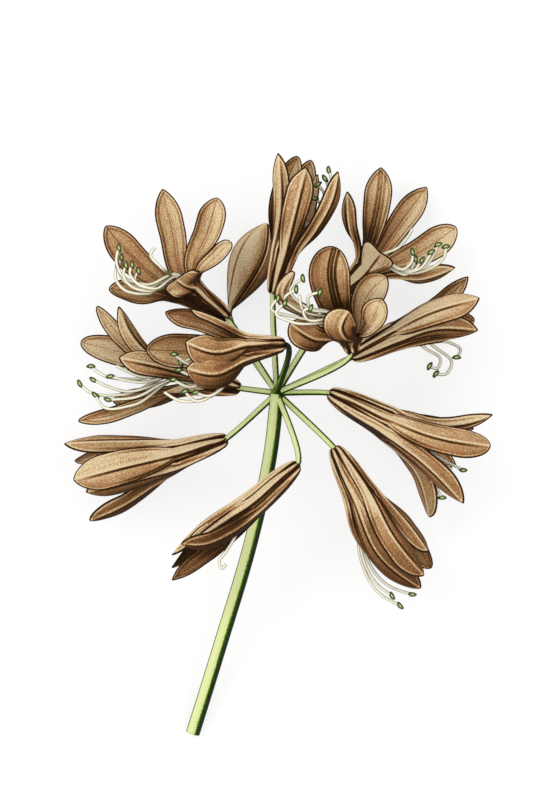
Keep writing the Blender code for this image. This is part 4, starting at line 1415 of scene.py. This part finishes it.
        ones = np.ones((rows, 1))
        outside, inside = np.zeros((rows, columns)), np.ones((rows, columns))
        side = np.concatenate((outside, 0.5 * ones, inside, 0.5 * ones), axis=1)
        ribs = round_ring(off_rib, off_rib[:, -1:], off_rib[:, :1])
        veins = round_ring(np.broadcast_to(5.0 * across[None, :], off_rib.shape), 5.0 * ones, -5.0 * ones)
        tone = petal.tone + self.plan.tone + 0.12 * np.sin(2.1 * index + 1.3 * self.seed)
        skin = Skin(rings)
        # Painted light and shade: lit is the cosine towards the fixed sun, less a band of painted shade on
        # the tube's outer flanks where they turn away from straight above
        near_tube = smoothstep(0.5, 0.1, u)[:, None]
        flank_shade = PETAL_FLANK_SHADE_DEPTH * (1.0 - side) * near_tube
        flank_shade = flank_shade * bell(skin.facing(UP) - PETAL_FLANK_SHADE, FLANK_SHADE_WIDTH)
        # The rib's sign puts its shaded flank below zero, where the finish paints a shade line
        side_light = np.sign((edge[:, columns // 2] @ unit(SUN)).sum())
        skin.marks = {
            "lit": skin.facing(SUN) - flank_shade,
            "stripe": petal.stripe * side,
            "rib": ribs * side_light,
            "rim": round_ring(off_edge, 0 * ones, 0 * ones),
            "along": np.broadcast_to(u[:, None], ribs.shape),
            "inner": side,
            "tone": np.full(ribs.shape, tone),
            "grain": grain_place(veins, run, 7.3 * (index + 6 * self.seed) + 3.1 * side),
        }
        return skin

    def throat_wall(self) -> Skin:
        """The hollow tube inside the petals' feet: out along it, round its lip and back to its floor.

        A ring is the circle of its row round the bloom's axis.

        Returns:
            The tube's skin, with the petals' marks.
        """
        axis, right, upper = self.axes()
        plan = self.plan
        length = np.linalg.norm(np.subtract(plan.throat, plan.base))
        wide = plan.throat_radius
        height_and_girth = (
            (0.3, 0.3),
            (0.8, 1.1),
            (2.0, 1.6),
            (0.5 * length, (TUBE_BASE_RADIUS + wide) / 2 - 0.2),
            (length - 0.4, wide - 0.2),
            (length, wide - 0.4),
            (length - 0.3, wide - 0.7),
            (0.6 * length, 0.5 * wide),
            (0.4 * length, 0.1),
        )
        height, girth = np.array(height_and_girth).T
        turn = np.linspace(0.0, 2 * np.pi, self.throat_sides, endpoint=False)
        ring = right * np.cos(turn)[:, None] + upper * np.sin(turn)[:, None]
        rings = np.array(plan.base) + height[:, None, None] * axis + girth[:, None, None] * ring[None]
        shape = rings.shape[:2]
        # Painted shade deep in the tube: a low lit and a dark tone on its inside
        marks = {
            "lit": np.full(shape, 0.2),
            "stripe": np.zeros(shape),
            "rib": np.full(shape, 3.0),
            "rim": np.full(shape, 3.0),
            "along": np.zeros(shape),
            "inner": np.ones(shape),
            "tone": np.full(shape, -0.4),
            "grain": grain_place(turn * 3.0, height, 0.0),
        }
        return Skin(rings, marks)

    def filament(self, stamen: Stamen, ring: float, spot: float, index: int) -> Skin:
        """A filament, or the style where ring is 0, from the depth of the throat to its end.

        Its path passes its place on the throat's disc, goes straight on, and then passes the plan's points.

        Args:
            stamen: The plan of its path.
            ring: How far it stands off the bloom's axis.
            spot: Its angle round the axis, in radians.
            index: Its place in the bloom.

        Returns:
            Its skin.
        """
        axis, right, upper = self.axes()
        throat = np.array(self.plan.throat)
        root = throat + axis * THROAT_DISC
        root += ring * (right * np.cos(spot) + upper * np.sin(spot))
        deep = throat - axis * FILAMENT_DEPTH + FILAMENT_GATHER * (root - throat - axis * THROAT_DISC)
        share = np.linspace(0.0, 1.0, self.filament_steps)
        free = root + axis * FILAMENT_STRAIGHT
        path = smooth_path([deep, root, free, *stamen.via, stamen.tip], share)
        radii = FILAMENT_RADIUS + (FILAMENT_TIP_RADIUS - FILAMENT_RADIUS) * share
        run = share * np.linalg.norm(np.diff(path, axis=0), axis=1).sum()
        thread = tube_skin(path, radii, self.filament_sides)
        away = (thread.rings - path[:, None, :]) / radii[:, None, None]
        thread.marks = {
            "lit": away @ unit(SUN),
            "rise": away[:, :, 2],
            "grain": grain_place(np.linspace(0.0, 6.0, self.filament_sides), run, 5.1 * index),
        }
        return thread

    def anther(self, place: Grid, onward: Grid, turn_seen: float | None) -> Skin:
        """An anther at the end of its filament: an ellipsoid with a groove along two of its sides.

        Args:
            place: Its middle.
            onward: The filament's direction there.
            turn_seen: The angle of its long side seen from above, or None for one across the filament.

        Returns:
            The anther's skin.
        """
        if turn_seen is None:
            cross = unit(np.cross(onward, UP))
        else:
            cross = np.array((np.cos(np.radians(turn_seen)), np.sin(np.radians(turn_seen)), 0.0))
            onward = np.cross(UP, cross)
        lift = np.cross(cross, onward)
        u = np.linspace(0.03, 0.97, self.anther_steps)
        turn = np.linspace(0.0, 2 * np.pi, self.anther_sides, endpoint=False)
        groove = bell(np.sin(turn), ANTHER_GROOVE_WIDTH)[None, :] * np.sin(np.pi * u)[:, None]
        radius = ANTHER_WIDTH / 2 * (np.sin(np.pi * u) ** 0.6)[:, None] * (1 - ANTHER_GROOVE * groove)
        bend = ANTHER_BEND * (np.sin(np.pi * u) - 0.6)
        rings = (
            place
            + cross * ((u - 0.5) * ANTHER_LENGTH)[:, None, None]
            + onward * (radius * np.cos(turn) + bend[:, None])[:, :, None]
            + lift * (radius * np.sin(turn))[:, :, None]
        )
        skin = Skin(rings)
        # lit faces straight up, for the finish's painted highlight and painted shade
        skin.marks = {"groove": groove, "lit": skin.facing(UP)}
        return skin

    def build(self) -> None:
        """Makes the bloom's three pieces and dresses them."""
        plan = self.plan
        blades = [self.blade(petal, 1 if i % 2 == 0 else -1, i) for i, petal in enumerate(plan.petals)]
        perianth = add_piece(f"perianth_{plan.name}", [*blades, self.throat_wall()], self.petal_finish)
        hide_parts(f"petals_{plan.name}")
        threads, anthers = [], []
        for i, stamen in enumerate(plan.stamens):
            thread = self.filament(stamen, FILAMENT_RING, 2 * np.pi * i / len(plan.stamens), i)
            middle = thread.rings.mean(axis=1)
            threads.append(thread)
            anthers.append(self.anther(middle[-1], unit(middle[-1] - middle[-2]), stamen.turn))
        threads.append(self.filament(plan.style, 0.0, 0.0, 6))
        filaments = add_piece(f"filaments_{plan.name}", threads, self.filament_finish)
        ends = add_piece(f"anthers_{plan.name}", anthers, self.anther_finish)
        for piece in (filaments, ends):
            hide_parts(f"stamens_{plan.name}")


@dataclass
class Bud:
    """A closed bud: three outer petals wrapped to a point, with a groove at each join."""

    plan: BudPlan
    finish: bpy.types.Material
    rows: int = 64
    sides: int = 72
    lobe: float = 0.13
    phase: float = -0.524

    def build(self) -> None:
        """Makes the bud.

        With u from 0 at the base to 1 at the tip, the girth is the plan's radius times a long bulge, and
        a three-fold wave of the angle presses in the grooves.
        """
        base, tip = np.array(self.plan.base), np.array(self.plan.tip)
        axis = unit(tip - base)
        right = unit(np.cross(axis, UP))
        upper = np.cross(right, axis)
        u = np.linspace(0.0, 1.0, self.rows + 2)[1:-1]
        turn = np.linspace(0.0, 2 * np.pi, self.sides, endpoint=False)
        swell = np.sin(np.pi * u**1.35) ** 0.9 + 0.27 * (1 - u) * np.sin(np.pi * u) ** 0.3
        fold = 1 - self.lobe * (1 - np.abs(np.cos(1.5 * (turn - self.phase))) ** 0.5)
        girth = self.plan.radius * swell[:, None] * fold[None, :]
        around = upper * np.cos(turn)[:, None] + right * np.sin(turn)[:, None]
        rings = base + (tip - base) * u[:, None, None] + around[None] * girth[:, :, None]
        shape = girth.shape
        third = 2 * np.pi / 3
        off = (turn - self.phase + third / 2) % third - third / 2
        rib = girth * off[None, :]
        rim = girth * (third / 2 - np.abs(off))[None, :]
        run = u * np.linalg.norm(tip - base)
        sector = np.floor((turn - self.phase) / third)
        skin = Skin(rings)
        # Painted light and shade: lit is the cosine towards the fixed sun, less a band of painted shade
        # where the sides turn away from straight above
        flank_shade = BUD_FLANK_SHADE_DEPTH * bell(skin.facing(UP) - BUD_FLANK_SHADE, FLANK_SHADE_WIDTH)
        skin.marks = {
            "lit": skin.facing(SUN) - flank_shade,
            "stripe": np.zeros(shape),
            "rib": rib,
            "rim": rim + 0.1,
            "along": np.broadcast_to(u[:, None], shape),
            "inner": np.zeros(shape),
            "tone": np.full(shape, 0.5),
            "grain": grain_place(rib, run, 3.0 * sector),
        }
        piece = add_piece(f"bud_skin_{self.plan.name}", [skin], self.finish)
        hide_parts(f"bud_{self.plan.name}")


@dataclass
class Stalk:
    """The cut stalk, the receptacle at its top, and a stem to every bloom and bud."""

    blooms: tuple[BloomPlan, ...]
    buds: tuple[BudPlan, ...]
    finish: bpy.types.Material
    stalk_steps: int = 90
    stalk_sides: int = 40
    receptacle_steps: int = 20
    receptacle_sides: int = 36
    stem_steps: int = 48
    stem_sides: int = 20

    def dressed(self, path: Grid, radii: Grid, sides: int, index: int, bias: float = 0.0) -> Skin:
        """A round skin along a path, marked with how far each point faces the lit side.

        Args:
            path: The middle line.
            radii: The radius at each point of the path.
            sides: The number of points in a ring.
            index: A number that sets its grain apart.
            bias: What makes it lighter or darker.

        Returns:
            The skin.
        """
        skin = tube_skin(path, radii, sides)
        away = units(skin.rings - path[:, None, :])
        # Painted light and shade: lit is the cosine towards the fixed stem sun, shifted by bias
        lit = away @ unit(STEM_SUN) + bias
        skin.marks = {
            "lit": lit,
            "rise": away[:, :, 2],
            "grain": grain_place(np.linspace(0.0, 6.0, sides), run_along(path), 4.7 * index),
        }
        return skin

    def stem(self, base: Vec, ahead: Vec) -> Grid:
        """The path of one stem: a cubic Bezier curve from the hub, which meets the bloom along its axis.

        Args:
            base: The start of the bloom's tube, or of the bud.
            ahead: A point further on its axis.

        Returns:
            The path, with one more point inside the bloom.
        """
        axis = unit(np.subtract(ahead, base))
        start, end = np.array(HUB), np.array(base)
        straight = unit(end - start)
        reach = (STEM_REACH + STEM_TURN_REACH * (1 - straight @ axis)) * np.linalg.norm(end - start)
        leave, arrive = start + straight * reach, end - axis * reach
        t = np.linspace(0.0, 1.0, self.stem_steps)[:, None]
        back = 1 - t
        path = back**3 * start + 3 * t * back**2 * leave + 3 * t**2 * back * arrive + t**3 * end
        return np.concatenate((path, path[-1:] + axis * STEM_SEAT))

    def build(self) -> None:
        """Makes the stalk as one piece."""
        path = smooth_path(STALK_ROUTE, np.linspace(0.0, 1.0, self.stalk_steps))
        skins = [self.dressed(path, np.full(len(path), STALK_RADIUS), self.stalk_sides, 0)]
        length = np.linspace(-RECEPTACLE_HALF_LENGTH, RECEPTACLE_HALF_LENGTH, self.receptacle_steps)
        knob = np.array(HUB) + length[:, None] * np.array(RECEPTACLE_AXIS)
        girth = RECEPTACLE_RADIUS * np.sqrt(1 - np.linspace(-0.97, 0.97, self.receptacle_steps) ** 2)
        skins.append(self.dressed(knob, girth, self.receptacle_sides, 1, 0.7))
        ends = [(bloom.base, bloom.throat, bloom.stem_tone) for bloom in self.blooms]
        ends += [(bud.base, bud.tip, 0.0) for bud in self.buds]
        for i, (base, ahead, tone) in enumerate(ends):
            path = self.stem(base, ahead)
            radii = np.linspace(STEM_RADIUS, STEM_FOOT_RADIUS, len(path))
            skins.append(self.dressed(path, radii, self.stem_sides, i + 2, tone))
        piece = add_piece("stalk_and_stems", skins, self.finish)
        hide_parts("flower_stalk")


@dataclass
class Studio:
    """The pale floor, the soft lights and the camera above.

    Key and fill are each a light's place and size in metres and its power in watts.
    """

    floor_reach: float = 14.0
    floor_height: float = -0.0001
    lens: float = 600.0
    sensor: float = 36.0
    focus_height: float = 0.03
    nearest: float = 0.5
    farthest: float = 60.0
    sky: float = 0.95
    key: tuple[Vec, float, float] = ((-1.1, 0.9, 1.7), 0.9, 9.0)
    fill: tuple[Vec, float, float] = ((1.2, -0.7, 1.6), 1.4, 3.0)

    def floor(self) -> None:
        """Lays the floor."""
        reach = self.floor_reach
        around = ((-reach, -reach), (reach, -reach), (reach, reach), (-reach, reach))
        corners = [(x, y, self.floor_height) for x, y in around]
        mesh = bpy.data.meshes.new("floor")
        mesh.from_pydata(corners, [], [(0, 1, 2, 3)])
        mesh.materials.append(FloorFinish().make())
        floor = bpy.data.objects.new("floor", mesh)
        bpy.context.scene.collection.objects.link(floor)

    def lamp(self, name: str, place: Vec, size: float, power: float) -> None:
        """Hangs a square soft light at a place, turned to the flower head.

        Args:
            name: The light's name.
            place: Where it hangs.
            size: The length of its side.
            power: Its power in watts.
        """
        lamp = bpy.data.lights.new(name, "AREA")
        lamp.size = size
        lamp.energy = power
        holder = bpy.data.objects.new(name, lamp)
        holder.location = place
        holder.rotation_euler = (-Vector(place)).to_track_quat("-Z", "Y").to_euler()
        holder.visible_camera = False
        bpy.context.scene.collection.objects.link(holder)

    def camera(self) -> None:
        """Sets the camera straight above, where the frame's middle pixel is."""
        span = PHOTO_HEIGHT / PIXELS_PER_MM * MM
        middle_x = (PHOTO_WIDTH / 2 - HUB_PIXEL[0]) / PIXELS_PER_MM + HEAD_PLACE[0]
        middle_y = (HUB_PIXEL[1] - PHOTO_HEIGHT / 2) / PIXELS_PER_MM + HEAD_PLACE[1]
        eye = bpy.data.cameras.new("camera")
        eye.lens = self.lens
        eye.sensor_width = self.sensor
        distance = span * self.lens / self.sensor
        eye.clip_start = self.nearest
        eye.clip_end = self.farthest
        holder = bpy.data.objects.new("camera", eye)
        holder.location = (middle_x * MM, middle_y * MM, self.focus_height + distance)
        bpy.context.scene.collection.objects.link(holder)
        bpy.context.scene.camera = holder

    def build(self) -> None:
        """Sets up the whole studio."""
        self.floor()
        world = bpy.data.worlds.new("studio")
        world.use_nodes = True
        world.node_tree.nodes["Background"].inputs["Color"].default_value = (1.0, 1.0, 1.0, 1.0)
        world.node_tree.nodes["Background"].inputs["Strength"].default_value = self.sky
        bpy.context.scene.world = world
        bpy.context.scene.view_settings.view_transform = "Standard"
        self.lamp("key", *self.key)
        self.lamp("fill", *self.fill)
        self.camera()


def main() -> None:
    """Builds the flower head and the studio."""
    logging.basicConfig(level=logging.INFO, format="%(message)s")
    Studio().build()
    petal, filament, anther = PetalFinish().make(), FilamentFinish().make(), AntherFinish().make()
    Stalk(BLOOMS, BUDS, StemFinish().make()).build()
    for seed, plan in enumerate(BLOOMS):
        Bloom(plan, petal, filament, anther, seed).build()
    for plan in BUDS:
        Bud(plan, petal).build()


if __name__ == "__main__":
    main()
